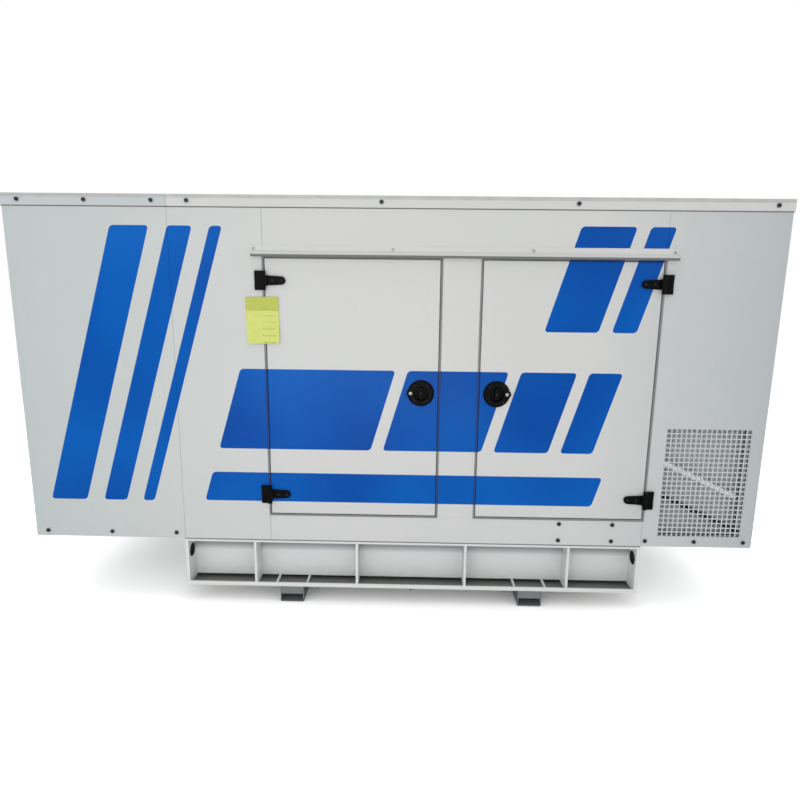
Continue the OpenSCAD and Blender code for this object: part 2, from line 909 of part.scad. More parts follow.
// A core between a bottom tank and a chamfered top tank, with a post at each side
module radiator() {
    core_set = 15;
    core_h = radiator_h - radiator_tank - radiator_foot;
    chamfer = 20;
    cap_r = 26;
    cap_h = 22;
    color("#303234") translate([radiator_x, -radiator_w / 2, skid_top]) {
        translate([core_set, radiator_post, radiator_foot])
            cube([radiator_t - core_set, radiator_w - 2 * radiator_post, core_h]);
        cube([radiator_t, radiator_w, radiator_foot]);
        for (y = [0, radiator_w - radiator_post])
            translate([0, y, 0]) cube([radiator_t, radiator_post, radiator_h - radiator_tank]);
        translate([0, radiator_w, radiator_h - radiator_tank]) rotate([90, 0, 0])
            linear_extrude(radiator_w)
                polygon([
                    [0, 0], [radiator_t, 0], [radiator_t, radiator_tank - chamfer],
                    [radiator_t - chamfer, radiator_tank], [chamfer, radiator_tank],
                    [0, radiator_tank - chamfer]
                ]);
        translate([radiator_t / 2, radiator_w / 4, radiator_h])
            cylinder(r = cap_r, h = cap_h, $fn = 32);
    }
}

// Top hose: up from the radiator's top tank, over the fan and down to the thermostat housing
module coolant_hose() {
    hose_r = 24;
    hose_bend = 50;
    hose_rise = 20;
    tank_x = radiator_x + radiator_t / 2;
    tank_z = skid_top + radiator_h;
    engine_x = block_x + thermostat_x;
    engine_z = crank_z + head_z + head_h + thermostat_h;
    bend_z = max(tank_z, engine_z) + hose_rise;
    color("#202124") {
        translate([tank_x, 0, tank_z]) cylinder(r = hose_r, h = bend_z - tank_z, $fn = 40);
        translate([tank_x, 0, 0]) mirror([1, 0, 0]) bend(0, 0, bend_z, hose_bend, hose_r);
        translate([tank_x + hose_bend, 0, bend_z + hose_bend]) rotate([0, 90, 0])
            cylinder(r = hose_r, h = engine_x - tank_x - 2 * hose_bend, $fn = 40);
        bend(engine_x, 0, bend_z, hose_bend, hose_r);
        translate([engine_x, 0, engine_z])
            cylinder(r = hose_r, h = bend_z - engine_z, $fn = 40);
    }
}

module fan_shroud() {
    shroud_w = 2 * fan_r + 80;
    color("#26282a") difference() {
        translate([shroud_x, -shroud_w / 2, fan_z - shroud_w / 2])
            cube([shroud_d, shroud_w, shroud_w]);
        translate([shroud_x - 1, 0, fan_z]) rotate([0, 90, 0])
            cylinder(r = fan_r + fan_clear, h = shroud_d + 2, $fn = 64);
    }
}

// Seven blades on a hub, with the shaft and the belt pulley behind it
module fan() {
    blades = 7;
    blade_w = 90;
    blade_t = 4;
    blade_turn = 35;
    hub_r = 70;
    shaft_r = 28;
    pulley_r = 52;
    root = 10;
    color("#202224") {
        turned(fan_x, 0, fan_z, [
            [0, 0], [hub_r - 12, 0], [hub_r, 10], [hub_r, fan_w], [shaft_r, fan_w],
            [shaft_r, fan_w + 14], [pulley_r, fan_w + 14], [pulley_r, fan_w + 20],
            [pulley_r - 12, fan_w + 26], [pulley_r, fan_w + 32], [pulley_r, fan_w + 38],
            [shaft_r, fan_w + 38], [shaft_r, fan_w + fan_gap], [0, fan_w + fan_gap]
        ]);
        translate([fan_x, 0, fan_z]) for (k = [0 : blades - 1])
            rotate([k * 360 / blades, 0, 0])
                translate([fan_w / 2, 0, (fan_r + hub_r - root) / 2]) rotate([0, 0, blade_turn])
                    cube([blade_t, blade_w, fan_r - hub_r + root], center = true);
    }
}

// Crankcase with its sump, and a timing cover with the crank pulley in front
module engine_block() {
    low = -90;
    step = 120;
    half_w = block_half_w - 40;
    along(block_x, block_l) polygon([
        [-half_w, low], [half_w, low], [block_half_w, low + 50], [block_half_w, step - 60],
        [half_w, step], [half_w, head_z], [-half_w, head_z], [-half_w, step],
        [-block_half_w, step - 60], [-block_half_w, low + 50]
    ]);
    along(block_x + 40, block_l - 100) polygon([
        [-half_w + 10, low], [-half_w + 30, low - 110], [half_w - 30, low - 110], [half_w - 10, low]
    ]);
    pulley_r = 80;
    turned(block_x, 0, crank_z, [
        [0, -40], [pulley_r, -40], [pulley_r, -34], [pulley_r - 12, -28], [pulley_r, -22],
        [pulley_r, -16], [60, -16], [60, 1], [0, 1]
    ]);
}

// Head, chamfered rocker cover with its filler cap, and thermostat housing
module engine_head() {
    cover_half_w = 85;
    cover_h = 70;
    head_top = head_z + head_h;
    along(block_x + 15, block_l - 45) translate([-head_half_w, head_z])
        square([2 * head_half_w, head_h]);
    along(block_x + 110, block_l - 170) polygon([
        [-cover_half_w, head_top], [cover_half_w, head_top],
        [cover_half_w, head_top + cover_h - 20], [cover_half_w - 25, head_top + cover_h],
        [-cover_half_w + 25, head_top + cover_h], [-cover_half_w, head_top + cover_h - 20]
    ]);
    translate([block_x + block_l - 150, 0, crank_z + head_top + cover_h])
        cylinder(r = 26, h = 20, $fn = 32);
    translate([block_x + thermostat_x, 0, crank_z + head_top])
        cylinder(r = 36, h = thermostat_h, $fn = 40);
}

// A manifold along one side of the head: a pipe, a stub to each cylinder and a flange
module manifold(y, r, flange_x) {
    side = sign(y);
    first_bore = (block_l - (bore_count - 1) * bore_pitch) / 2;
    stub_l = abs(y) - head_half_w;
    pipe_l = (bore_count - 1) * bore_pitch + 80;
    translate([block_x + first_bore - 40, y, crank_z + manifold_z]) rotate([0, 90, 0])
        cylinder(r = r, h = pipe_l, $fn = 40);
    for (k = [0 : bore_count - 1])
        translate([block_x + first_bore + k * bore_pitch, y, crank_z + manifold_z])
            rotate([side * 90, 0, 0]) cylinder(r = r - 10, h = stub_l + 1, $fn = 32);
    translate([block_x + flange_x, y, crank_z + manifold_z])
        cylinder(r = r + 4, h = manifold_flange_z - manifold_z, $fn = 40);
    translate([block_x + flange_x, y, crank_z + manifold_flange_z - 12])
        cylinder(r = r + 18, h = 12, $fn = 40);
}

// What is bolted on the crankcase: injection pump and oil filter in front, starter behind
module engine_units() {
    pump_l = 210;
    pump_d = 75;
    filter_unit_r = 46;
    starter_r = 48;
    translate([block_x + 190, -block_half_w - pump_d, crank_z - 20]) {
        cube([pump_l, pump_d + 1, 75]);
        for (k = [0 : bore_count - 1])
            translate([35 + k * 46, pump_d / 2, 75]) cylinder(r = 11, h = 45, $fn = 24);
    }
    translate([block_x + 520, -block_half_w - filter_unit_r, crank_z]) {
        translate([0, 0, -100]) cylinder(r = filter_unit_r, h = 130, $fn = 40);
        translate([-filter_unit_r, -filter_unit_r, 30])
            cube([2 * filter_unit_r, 2 * filter_unit_r + 1, 30]);
    }
    translate([flywheel_x - 200, block_half_w + 40, crank_z - 30]) rotate([0, 90, 0])
        cylinder(r = starter_r, h = 205, $fn = 40);
}

module engine_feet() {
    for (s = [-1, 1])
        along(block_x + 60, 60) polygon([
            [s * (block_half_w - 10), 20], [s * machine_foot_y, -foot_drop + 15],
            [s * machine_foot_y, -foot_drop], [s * (machine_foot_y - skid_w), -foot_drop],
            [s * (machine_foot_y - skid_w), -foot_drop + 15], [s * (block_half_w - 10), -60]
        ]);
}

module engine() {
    flange_r = alternator_r - 15;
    color("#7d8084") {
        engine_block();
        engine_head();
        manifold(exhaust_y, exhaust_r, block_l / 2);
        manifold(intake_y, intake_r, filter_out_x);
        engine_units();
        engine_feet();
        turned(flywheel_x, 0, crank_z, [
            [0, -1], [flange_r, -1], [flange_r, 12], [flange_r - 10, 20],
            [alternator_r - 10, flywheel_l - 30], [alternator_r, flywheel_l - 20],
            [alternator_r, flywheel_l], [0, flywheel_l]
        ]);
    }
}

// Grooved canister on a bracket at the head, with a pipe down to the intake manifold
module air_filter() {
    bend_r = 55;
    pipe_r = 36;
    neck = 30;
    x = block_x + filter_out_x - bend_r - neck - filter_l;
    z = crank_z + filter_z;
    plate_t = 8;
    plate_w = 60;
    plate_z = head_z + 20;
    color("#2b2d30") {
        turned(x, filter_y, z, [
            [0, 0], [filter_r - 12, 0], [filter_r, 12], [filter_r, 60], [filter_r - 8, 64],
            [filter_r - 8, 72], [filter_r, 76], [filter_r, filter_l - 14],
            [pipe_r + 10, filter_l], [0, filter_l]
        ]);
        translate([x + filter_l - 1, filter_y, z]) rotate([0, 90, 0])
            cylinder(r = pipe_r, h = neck + 1, $fn = 40);
        bend(block_x + filter_out_x, filter_y, z - bend_r, bend_r, pipe_r);
        translate([block_x + filter_out_x, filter_y, crank_z + manifold_flange_z])
            cylinder(r = pipe_r, h = filter_z - bend_r - manifold_flange_z, $fn = 40);
        translate([block_x + (block_l - plate_w) / 2, -head_half_w - plate_t, crank_z + plate_z])
            cube([plate_w, plate_t, filter_z - plate_z]);
    }
}

// Ringed body with an end bell, a terminal box on top and an arched foot at each end
module alternator() {
    ring = 18;
    box_half_w = 150;
    box_low = alternator_r - 60;
    box_top = alternator_r + 130;
    saddle_w = 60;
    waist = 120;
    color("#3b5f8f") {
        turned(alternator_x, 0, crank_z, [
            [0, 0], [alternator_r, 0], [alternator_r, 50], [alternator_r - ring, 60],
            [alternator_r - ring, alternator_l - 140], [alternator_r - 6, alternator_l - 134],
            [alternator_r - 6, alternator_l - 95], [alternator_r - 50, alternator_l - 30],
            [alternator_r - 70, alternator_l], [0, alternator_l]
        ]);
        along(alternator_x + 130, alternator_l - 300) polygon([
            [-box_half_w, box_low], [box_half_w, box_low], [box_half_w, box_top - 40],
            [box_half_w - 35, box_top], [-box_half_w + 35, box_top], [-box_half_w, box_top - 40]
        ]);
        for (x = [alternator_x + 80, alternator_x + alternator_l - 170])
            along(x, saddle_w) polygon([
                [-machine_foot_y, -foot_drop], [-machine_foot_y, -foot_drop + 20],
                [-waist - 40, -waist], [waist + 40, -waist],
                [machine_foot_y, -foot_drop + 20], [machine_foot_y, -foot_drop],
                [machine_foot_y - skid_w, -foot_drop], [waist, -waist - 50],
                [-waist, -waist - 50], [-machine_foot_y + skid_w, -foot_drop]
            ]);
    }
}

// A cabinet whose door carries the controller and the stop button
module control_cabinet() {
    rim = 12;
    door_t = 4;
    screen_w = 140;
    screen_h = 100;
    screen_t = 8;
    button_r = 20;
    button_l = 14;
    color("lightgray") translate([cabinet_x, cabinet_y, cabinet_z]) {
        cube([cabinet_w, cabinet_d, cabinet_h]);
        translate([rim, -door_t, rim])
            cube([cabinet_w - 2 * rim, door_t + 1, cabinet_h - 2 * rim]);
        translate([(cabinet_w - screen_w) / 2, -door_t - screen_t, cabinet_h / 2 - screen_h])
            cube([screen_w, screen_t + 1, screen_h]);
        translate([cabinet_w / 2, -door_t, 60]) rotate([90, 0, 0])
            cylinder(r = button_r, h = button_l, $fn = 32);
    }
}

module cabinet_legs() {
    color("lightgray")
        for (x = [0, cabinet_w - cabinet_leg], y = [0, cabinet_d - cabinet_leg])
            translate([cabinet_x + x, cabinet_y + y, deck_z])
                cube([cabinet_leg, cabinet_leg, cabinet_z - deck_z]);
}

// Starter battery between the cabinet's legs
module battery() {
    room = 10;
    battery_l = cabinet_w - 2 * cabinet_leg - 2 * room;
    battery_w = cabinet_d - 2 * room;
    case_h = 160;
    lid_h = 30;
    post_r = 9;
    post_h = 18;
    color("#222326")
        translate([cabinet_x + cabinet_leg + room, cabinet_y + room, deck_z]) {
            translate([3, 3, 0]) cube([battery_l - 6, battery_w - 6, case_h + 1]);
            translate([0, 0, case_h]) cube([battery_l, battery_w, lid_h]);
            for (x = [30, battery_l - 30])
                translate([x, battery_w / 2, case_h + lid_h]) cylinder(r = post_r, h = post_h, $fn = 24);
        }
}

// Drum hung from the roof, with a riser from the exhaust manifold and a tail pipe that
// ends over the radiator, in the air outlet
module silencer() {
    pipe_r = 38;
    dish = 35;
    hang = 60;
    band_w = 40;
    band_t = 5;
    riser_set = 110;
    riser_x = block_x + block_l / 2;
    riser_z = crank_z + manifold_flange_z;
    drum_x = riser_x - riser_set;
    drum_z = top_z - wall_d - silencer_r - hang;
    tail_x = radiator_x - 40;
    color("#8d8478") {
        turned(drum_x, exhaust_y, drum_z, [
            [0, 0], [silencer_r - dish, 6], [silencer_r, dish], [silencer_r, silencer_l - dish],
            [silencer_r - dish, silencer_l - 6], [0, silencer_l]
        ]);
        translate([riser_x, exhaust_y, riser_z]) {
            cylinder(r = exhaust_r + 18, h = 12, $fn = 40);
            cylinder(r = pipe_r, h = drum_z - riser_z, $fn = 40);
        }
        translate([tail_x, exhaust_y, drum_z]) rotate([0, 90, 0])
            cylinder(r = pipe_r, h = drum_x - tail_x + dish, $fn = 40);
        for (x = [drum_x + 120, drum_x + silencer_l - 120 - band_w]) {
            translate([x, exhaust_y, drum_z]) rotate([0, 90, 0])
                cylinder(r = silencer_r + band_t, h = band_w, $fn = 64);
            translate([x, exhaust_y - band_w / 2, drum_z + silencer_r])
                cube([band_w, band_w, hang]);
        }
    }
}

cooling_roof();
main_roof();
roof_lining();
wall_linings();
cooling_panels();
fixed_panels();
header_panels();
sill_panels();
centre_posts();
intake_panels();
front_grille();
rear_grille();
drip_rails();
left_end_wall();
discharge_louvre();
right_end_wall();
floor_pans();
intake_baffles();
rear_doors();
rear_hinges();
rear_latches();
hinge_leaves();
door_stops();
left_door();
left_door_lining();
left_hinge_straps();
left_latch();
left_handle();
right_door();
right_door_lining();
right_hinge_straps();
right_latch();
right_handle();
deck();
fuel_tank();
bottom_rails();
side_ribs();
tie_plates();
left_end_plate();
right_end_plate();
feet();
skid_beams();
radiator();
coolant_hose();
fan_shroud();
fan();
engine();
air_filter();
alternator();
control_cabinet();
cabinet_legs();
battery();
silencer();
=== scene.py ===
"""An enclosed diesel generator set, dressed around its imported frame.

A long canopy of powder-coated sheet steel with doors, latches and an intake grille overhangs
a shorter skid base. The engine, alternator and cabinet show when the doors swing open.
"""

import bmesh
import bpy
import numpy as np
from mathutils import Matrix, Vector


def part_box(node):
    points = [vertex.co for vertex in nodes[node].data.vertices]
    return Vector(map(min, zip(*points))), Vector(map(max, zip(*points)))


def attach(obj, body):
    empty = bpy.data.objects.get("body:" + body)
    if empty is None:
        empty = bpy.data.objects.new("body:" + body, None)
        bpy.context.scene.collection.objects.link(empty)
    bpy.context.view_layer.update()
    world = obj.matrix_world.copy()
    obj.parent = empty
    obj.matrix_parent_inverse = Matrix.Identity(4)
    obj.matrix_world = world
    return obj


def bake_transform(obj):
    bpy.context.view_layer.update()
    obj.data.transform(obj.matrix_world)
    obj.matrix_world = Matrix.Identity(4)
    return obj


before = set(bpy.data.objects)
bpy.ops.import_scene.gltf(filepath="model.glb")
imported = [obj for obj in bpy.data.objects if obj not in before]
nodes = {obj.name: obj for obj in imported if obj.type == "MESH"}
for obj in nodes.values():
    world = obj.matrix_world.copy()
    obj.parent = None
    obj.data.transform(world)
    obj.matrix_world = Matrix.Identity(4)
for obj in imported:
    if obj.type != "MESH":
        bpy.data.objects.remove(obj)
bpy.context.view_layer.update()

# ---- Camera and studio ----
# The set stands on a pale floor in soft light from all round. The camera stands close in
# front, at four fifths of the set's height, and looks slightly down.
scene = bpy.context.scene
scene.view_settings.view_transform = "Standard"

EYE = (0.077, -2.914, 1.349)
EYE_TURN, EYE_TILT, EYE_ROLL = np.radians((1.04, -10.92, -0.63))

camera_data = bpy.data.cameras.new("camera")
camera_data.sensor_width = 36
camera_data.lens = 27
camera = bpy.data.objects.new("camera", camera_data)
camera.matrix_world = (
    Matrix.Translation(EYE)
    @ Matrix.Rotation(EYE_TURN, 4, "Z")
    @ Matrix.Rotation(EYE_TILT, 4, "X")
    @ Matrix.Rotation(EYE_ROLL, 4, "Y")
    @ Matrix.Rotation(np.pi / 2, 4, "X")
)
scene.collection.objects.link(camera)
scene.camera = camera


def linear(colour):
    """An sRGB hex colour as linear red, green, blue and alpha: each part c becomes c / 12.92
    below 0.04, and ((c + 0.055) / 1.055) to the power 2.4 above it."""
    parts = np.array([int(colour[i:i + 2], 16) for i in (1, 3, 5)]) / 255
    parts = np.where(parts <= 0.04045, parts / 12.92, ((parts + 0.055) / 1.055) ** 2.4)
    return (*parts.tolist(), 1.0)


def connect(tree, node, inputs):
    """Links each input that is given as a socket or as a node, whose first output in use is
    meant, and sets any other."""
    for name, value in inputs.items():
        if isinstance(value, bpy.types.Node):
            value = next(output for output in value.outputs if output.enabled)
        if isinstance(value, bpy.types.NodeSocket):
            tree.links.new(value, node.inputs[name])
        else:
            node.inputs[name].default_value = value


def add(tree, kind, inputs=None, **settings):
    """Adds a shader node of a kind, with its settings and inputs."""
    made = tree.nodes.new("ShaderNode" + kind)
    for name, value in settings.items():
        setattr(made, name, value)
    connect(tree, made, inputs or {})
    return made


SKY_LIGHT = 0.575
world = bpy.data.worlds.new("studio")
world.use_nodes = True
scene.world = world
sky = world.node_tree
path = add(sky, "LightPath")
seen = add(sky, "Math", {0: path.outputs["Is Camera Ray"], 1: path.outputs["Is Glossy Ray"]},
           operation="ADD")
seen = add(sky, "Math", {0: seen, 1: path.outputs["Is Transmission Ray"]}, operation="ADD",
           use_clamp=True)
strength = add(sky, "MapRange", {"Value": seen, "To Min": SKY_LIGHT, "To Max": 1.0})
connect(sky, sky.nodes["Background"], {"Color": (1, 1, 1, 1), "Strength": strength})

LAMPS = {  # place, size in metres and power in watts of each soft box
    "front_left": ((-3.2, -4.6, 3.2), 3.0, 27),
    "front_right": ((3.4, -4.4, 2.8), 3.0, 16),
    "front_low": ((-0.4, -3.9, 0.5), 2.4, 37),
    "overhead": ((0.0, 0.0, 5.2), 4.0, 32),
    "rear_left": ((-3.2, 4.6, 3.2), 3.0, 26),
    "rear_right": ((3.4, 4.4, 2.8), 3.0, 20),
    "rear_low": ((0.3, 3.9, 0.6), 2.4, 30),
    "left_low": ((-4.6, 0.0, 1.0), 2.2, 26),
    "right_low": ((4.6, 0.0, 1.0), 2.2, 26),
}
for name, (place, size, power) in LAMPS.items():
    lamp = bpy.data.lights.new(name, "AREA")
    lamp.size = size
    lamp.energy = power
    holder = bpy.data.objects.new(name, lamp)
    aim = (Vector((0, 0, 0.8)) - Vector(place)).to_track_quat("-Z", "Y")
    holder.matrix_world = Matrix.Translation(place) @ aim.to_matrix().to_4x4()
    scene.collection.objects.link(holder)

FLOOR_HALF = 60.0
FLOOR_Z = -0.001
floor_mesh = bpy.data.meshes.new("floor")
floor_mesh.from_pydata([(x * FLOOR_HALF, y * FLOOR_HALF, FLOOR_Z)
                        for x, y in ((-1, -1), (1, -1), (1, 1), (-1, 1))], [], [(0, 1, 2, 3)])
floor = bpy.data.objects.new("floor", floor_mesh)
scene.collection.objects.link(floor)

# Matt floor paint, pale and dull. The camera alone sees it as a brighter white, so that it
# meets the backdrop without an edge and its shadow stays as deep as it falls.
FLOOR_LIFT = 0.95
floor_paint = bpy.data.materials.new("matt floor paint")
floor_paint.use_nodes = True
tree = floor_paint.node_tree
tree.nodes.remove(tree.nodes["Principled BSDF"])
path = add(tree, "LightPath")
lift = add(tree, "Math", {0: path.outputs["Is Camera Ray"], 1: FLOOR_LIFT}, operation="MULTIPLY")
lift = add(tree, "CombineColor", {"Red": lift, "Green": lift, "Blue": lift})
plain = add(tree, "BsdfDiffuse", {"Color": linear("#f1f1f0")})
lifted = add(tree, "BsdfDiffuse", {"Color": lift})
both = add(tree, "AddShader", {0: plain, 1: lifted})
connect(tree, tree.nodes["Material Output"], {"Surface": both})
floor_mesh.materials.append(floor_paint)


def material(name, roughness=0.5, metallic=0.0, specular=0.5):
    """A new material with its gloss, then its node tree, shader and object coordinates."""
    made = bpy.data.materials.new(name)
    made.use_nodes = True
    tree = made.node_tree
    shader = tree.nodes["Principled BSDF"]
    connect(tree, shader, {"Roughness": roughness, "Metallic": metallic,
                           "Specular IOR Level": specular})
    return made, tree, shader, add(tree, "TexCoord").outputs["Object"]


# ---- Canopy panels and doors ----
# Folded sheet steel, powder-coated in light grey, with shapes cut from glossy blue vinyl film
# that run across the panels and doors and turn in at the gaps.
MM = 0.001
panel_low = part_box("cooling_panels")[0]
intake_low, intake_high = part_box("intake_panels")
face_y = panel_low.y
canopy_z = panel_low.z
x_left = panel_low.x
x_right = intake_high.x


def tone_between(tree, place, first, second, scale, detail):
    """A colour that drifts between two, with noise whose patches are about a metre divided by
    the scale."""
    drift = add(tree, "TexNoise", {"Vector": place, "Scale": scale, "Detail": detail})
    return add(tree, "Mix", {0: drift, 6: linear(first), 7: linear(second)}, data_type="RGBA")


def bumps(tree, place, scale, detail, depth, below=None):
    """Normals of noise bumps, as deep as given, over the normals of the surface below."""
    noise = add(tree, "TexNoise", {"Vector": place, "Scale": scale, "Detail": detail})
    raised = add(tree, "Bump", {"Height": noise, "Distance": depth})
    if below:
        connect(tree, raised, {"Normal": below})
    return raised


def sheet_bump(tree, place):
    """Normals of painted sheet: rounded edges, orange peel of about 1.5 mm, and the slow waves
    of about 350 mm that a large panel has."""
    rounded = add(tree, "Bevel", {"Radius": 1.6 * MM}, samples=4)
    waves = bumps(tree, place, 2.8, 0.0, 0.5 * MM, rounded)
    return bumps(tree, place, 650.0, 2.0, 0.03 * MM, waves)


def powder_coat(name, colour, shade, roughness, specular=0.5):
    """Powder coat or enamel: a skin whose tone drifts a little between two shades, and whose
    gloss varies slowly where a film of dust lies. Returns its parts for further layers."""
    made, tree, shader, place = material(name, specular=specular)
    tone = tone_between(tree, place, colour, shade, 1.6, 3.0)
    dust = add(tree, "TexNoise", {"Vector": place, "Scale": 5.0, "Detail": 2.0})
    dull = add(tree, "MapRange", {"Value": dust, "To Min": roughness - 0.04,
                                  "To Max": roughness + 0.12})
    connect(tree, shader, {"Base Color": tone, "Roughness": dull,
                           "Normal": sheet_bump(tree, place)})
    return made, tree, shader, place, tone


# Blue film: leaning blocks, each given by its middle, its width and its height
FILM_LEAN = 0.30
FILM_CORNER = 14 * MM
FILM_TURN = 5.5 * MM
TALL_MID = canopy_z + 720 * MM
TALL_H = 1110 * MM
BAND_Z = canopy_z + 560 * MM
BAND_H = 330 * MM
STRIPE_Z = canopy_z + 232 * MM
STRIPE_H = 124 * MM
UPPER_Z = canopy_z + 1085 * MM
UPPER_H = 400 * MM
film_blocks = [
    (-1180 * MM, TALL_MID, 150 * MM, TALL_H),
    (-985 * MM, TALL_MID, 96 * MM, TALL_H),
    (-845 * MM, TALL_MID, 48 * MM, TALL_H),
    (-345 * MM, BAND_Z, 620 * MM, BAND_H),
    (215 * MM, BAND_Z, 400 * MM, BAND_H),
    (575 * MM, BAND_Z, 220 * MM, BAND_H),
    (800 * MM, BAND_Z, 130 * MM, BAND_H),
    (45 * MM, STRIPE_Z, 1600 * MM, STRIPE_H),
    (760 * MM, UPPER_Z, 210 * MM, UPPER_H),
    (965 * MM, UPPER_Z, 96 * MM, UPPER_H),
]


def inside_film(tree, place):
    """1 inside the blue film and 0 outside. A point is measured from a block's middle, sheared
    upright, folded into one quarter, and lies inside where its distance from the quarter's
    core is under the corner radius. Only the outer faces of the panels count."""
    found = None
    for middle_x, middle_z, width, height in film_blocks:
        off = add(tree, "VectorMath", {0: place, 1: (middle_x, 0, middle_z)}, operation="SUBTRACT")
        across = add(tree, "VectorMath", {0: off, 1: (1, 0, -FILM_LEAN)}, operation="DOT_PRODUCT")
        up = add(tree, "VectorMath", {0: off, 1: (0, 0, 1)}, operation="DOT_PRODUCT")
        upright = add(tree, "CombineXYZ", {"X": across, "Z": up})
        quarter = add(tree, "VectorMath", {0: upright}, operation="ABSOLUTE")
        core = (width / 2 - FILM_CORNER, 0, height / 2 - FILM_CORNER)
        beyond = add(tree, "VectorMath", {0: quarter, 1: core}, operation="SUBTRACT")
        beyond = add(tree, "VectorMath", {0: beyond, 1: (0, 0, 0)}, operation="MAXIMUM")
        distance = add(tree, "VectorMath", {0: beyond}, operation="LENGTH")
        within = add(tree, "Math", {0: distance, 1: FILM_CORNER}, operation="LESS_THAN")
        if found is None:
            found = within
        else:
            found = add(tree, "Math", {0: found, 1: within}, operation="MAXIMUM")
    depth = add(tree, "SeparateXYZ", {"Vector": place})
    depth = add(tree, "Math", {0: depth.outputs["Y"]}, operation="ABSOLUTE")
    outer = add(tree, "Math", {0: depth, 1: abs(face_y) - FILM_TURN}, operation="GREATER_THAN")
    return add(tree, "Math", {0: found, 1: outer}, operation="MULTIPLY")


panel_paint, tree, shader, place, tone = powder_coat("glossy powder coat with blue film",
                                                     "#dbdbd9", "#d5d7d6", 0.22, 0.1)
# Bluer and darker towards both ends: a cooler tint, and painted shade where the light falls off
along = add(tree, "SeparateXYZ", {"Vector": place})
along = add(tree, "MapRange", {"Value": along.outputs["X"], "From Min": x_left,
                               "From Max": x_right})
end_tint_and_shade = add(tree, "ValToRGB", {"Fac": along})
end_tint_and_shade.color_ramp.elements[0].color = linear("#eaf2f3")
end_tint_and_shade.color_ramp.elements[1].color = linear("#e2e8ec")
end_tint_and_shade.color_ramp.elements.new(0.36).color = (1, 1, 1, 1)
end_tint_and_shade.color_ramp.elements.new(0.76).color = (1, 1, 1, 1)
tone = add(tree, "Mix", {0: 1.0, 6: tone, 7: end_tint_and_shade}, data_type="RGBA", blend_type="MULTIPLY")
drift = add(tree, "TexNoise", {"Vector": place, "Scale": 1.7, "Detail": 1.0})
blue = add(tree, "ValToRGB", {"Fac": drift})
blue.color_ramp.elements[0].position = 0.3
blue.color_ramp.elements[0].color = linear("#004ba6")
blue.color_ramp.elements[1].position = 0.7
blue.color_ramp.elements[1].color = linear("#0064c2")
skin = add(tree, "Mix", {0: inside_film(tree, place), 6: tone, 7: blue}, data_type="RGBA")
connect(tree, shader, {"Base Color": skin})

roof_low, roof_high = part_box("main_roof")
ROOF_FOLD = 14 * MM
DUST_EDGE = 1.5 * MM


def dusted(tree, shader, place, tone):
    """Settled dust on the roof and along its folded edge, in patches of about 60 mm: it takes
    over from the coat's tone above the fold's height."""
    at = add(tree, "SeparateXYZ", {"Vector": place})
    over = add(tree, "MapRange", {"Value": at.outputs["Z"],
                                  "From Min": roof_high.z - ROOF_FOLD - DUST_EDGE,
                                  "From Max": roof_high.z - ROOF_FOLD + DUST_EDGE})
    patch = add(tree, "TexNoise", {"Vector": place, "Scale": 16.0, "Detail": 4.0})
    patch = add(tree, "MapRange", {"Value": patch, "From Min": 0.35, "From Max": 0.65,
                                   "To Min": 0.45, "To Max": 0.8})
    over = add(tree, "Math", {0: over, 1: patch}, operation="MULTIPLY")
    tone = add(tree, "Mix", {0: over, 6: tone, 7: linear("#b4b6b2")}, data_type="RGBA")
    connect(tree, shader, {"Base Color": tone})


plain_paint, *layers = powder_coat("glossy powder coat", "#dbdbd9", "#d5d7d6", 0.26, 0.15)
dusted(*layers)


def dress(paint, *names):
    """Gives CAD nodes their finish."""
    for name in names:
        slots = nodes[name].data.materials
        slots.clear()
        slots.append(paint)


dress(panel_paint, "cooling_panels", "fixed_panels", "header_panels", "sill_panels",
      "centre_posts", "intake_panels", "left_door", "right_door")
dress(plain_paint, "main_roof", "drip_rails")

# ---- Roof and its screws ----
# Two lengths of sheet with turned-down rims. Black hexagon screws on steel washers hold the rims
# to the walls, and more of them hold the panels along their lower edges.
# A darker, bluer grey than the panels' coat, on the cooling roof and the end walls; on the cooling
# roof's rim it is painted shade
roof_paint, *layers = powder_coat("darker glossy powder coat", "#cdd2d4", "#c7cdd0",
                                  0.26, 0.15)
dusted(*layers)
dress(roof_paint, "cooling_roof", "left_end_wall", "right_end_wall")


def weld(points, quads):
    """Makes one point of points that coincide, and a triangle of a quad with a doubled corner.
    A shape is its points, the corners of its faces in one row, and each face's corner count."""
    _, first, into = np.unique(np.round(points * 1e7).astype(np.int64), axis=0,
                               return_index=True, return_inverse=True)
    quads = into.reshape(-1)[quads]
    kept = quads != np.roll(quads, -1, 1)
    whole = kept.sum(1) > 2
    return points[first], quads[whole][kept[whole]], kept[whole].sum(1)


def surface(rows, around=True):
    """Quads between the points of a grid of rows. A row drawn to one point closes as a pole, and
    a grid that goes around joins its last point to its first."""
    count, width = rows.shape[:2]
    index = np.arange(count * width).reshape(count, width)
    if around:
        index = np.concatenate([index, index[:, :1]], 1)
    quads = np.stack([index[:-1, :-1], index[:-1, 1:], index[1:, 1:], index[1:, :-1]], -1)
    return weld(rows.reshape(-1, 3), quads.reshape(-1, 4))


def lathe(profile, steps=32, start=0.0):
    """A turned shape about Z, from a profile in millimetres: the point of radius r and height h
    goes to r times the cosine and sine of the angle, at height h, for each step of a turn."""
    radius, height = np.array(profile, float).T[:, :, None] * MM
    angle = start + np.arange(steps) * 2 * np.pi / steps
    rows = np.stack([radius * np.cos(angle), radius * np.sin(angle), height + 0 * angle], -1)
    return surface(rows)


def joined(*shapes):
    """Several shapes as one."""
    starts = np.cumsum([0] + [len(s[0]) for s in shapes[:-1]])
    return (np.concatenate([s[0] for s in shapes]),
            np.concatenate([s[1] + n for s, n in zip(shapes, starts)]),
            np.concatenate([s[2] for s in shapes]))


def turned(shape, axes):
    """A shape whose X, Y and Z are turned to the three directions given."""
    return shape[0] @ np.array(axes, float), shape[1], shape[2]


def moved(shape, place):
    """A shape shifted by a distance along X, Y and Z."""
    return shape[0] + np.array(place, float), shape[1], shape[2]


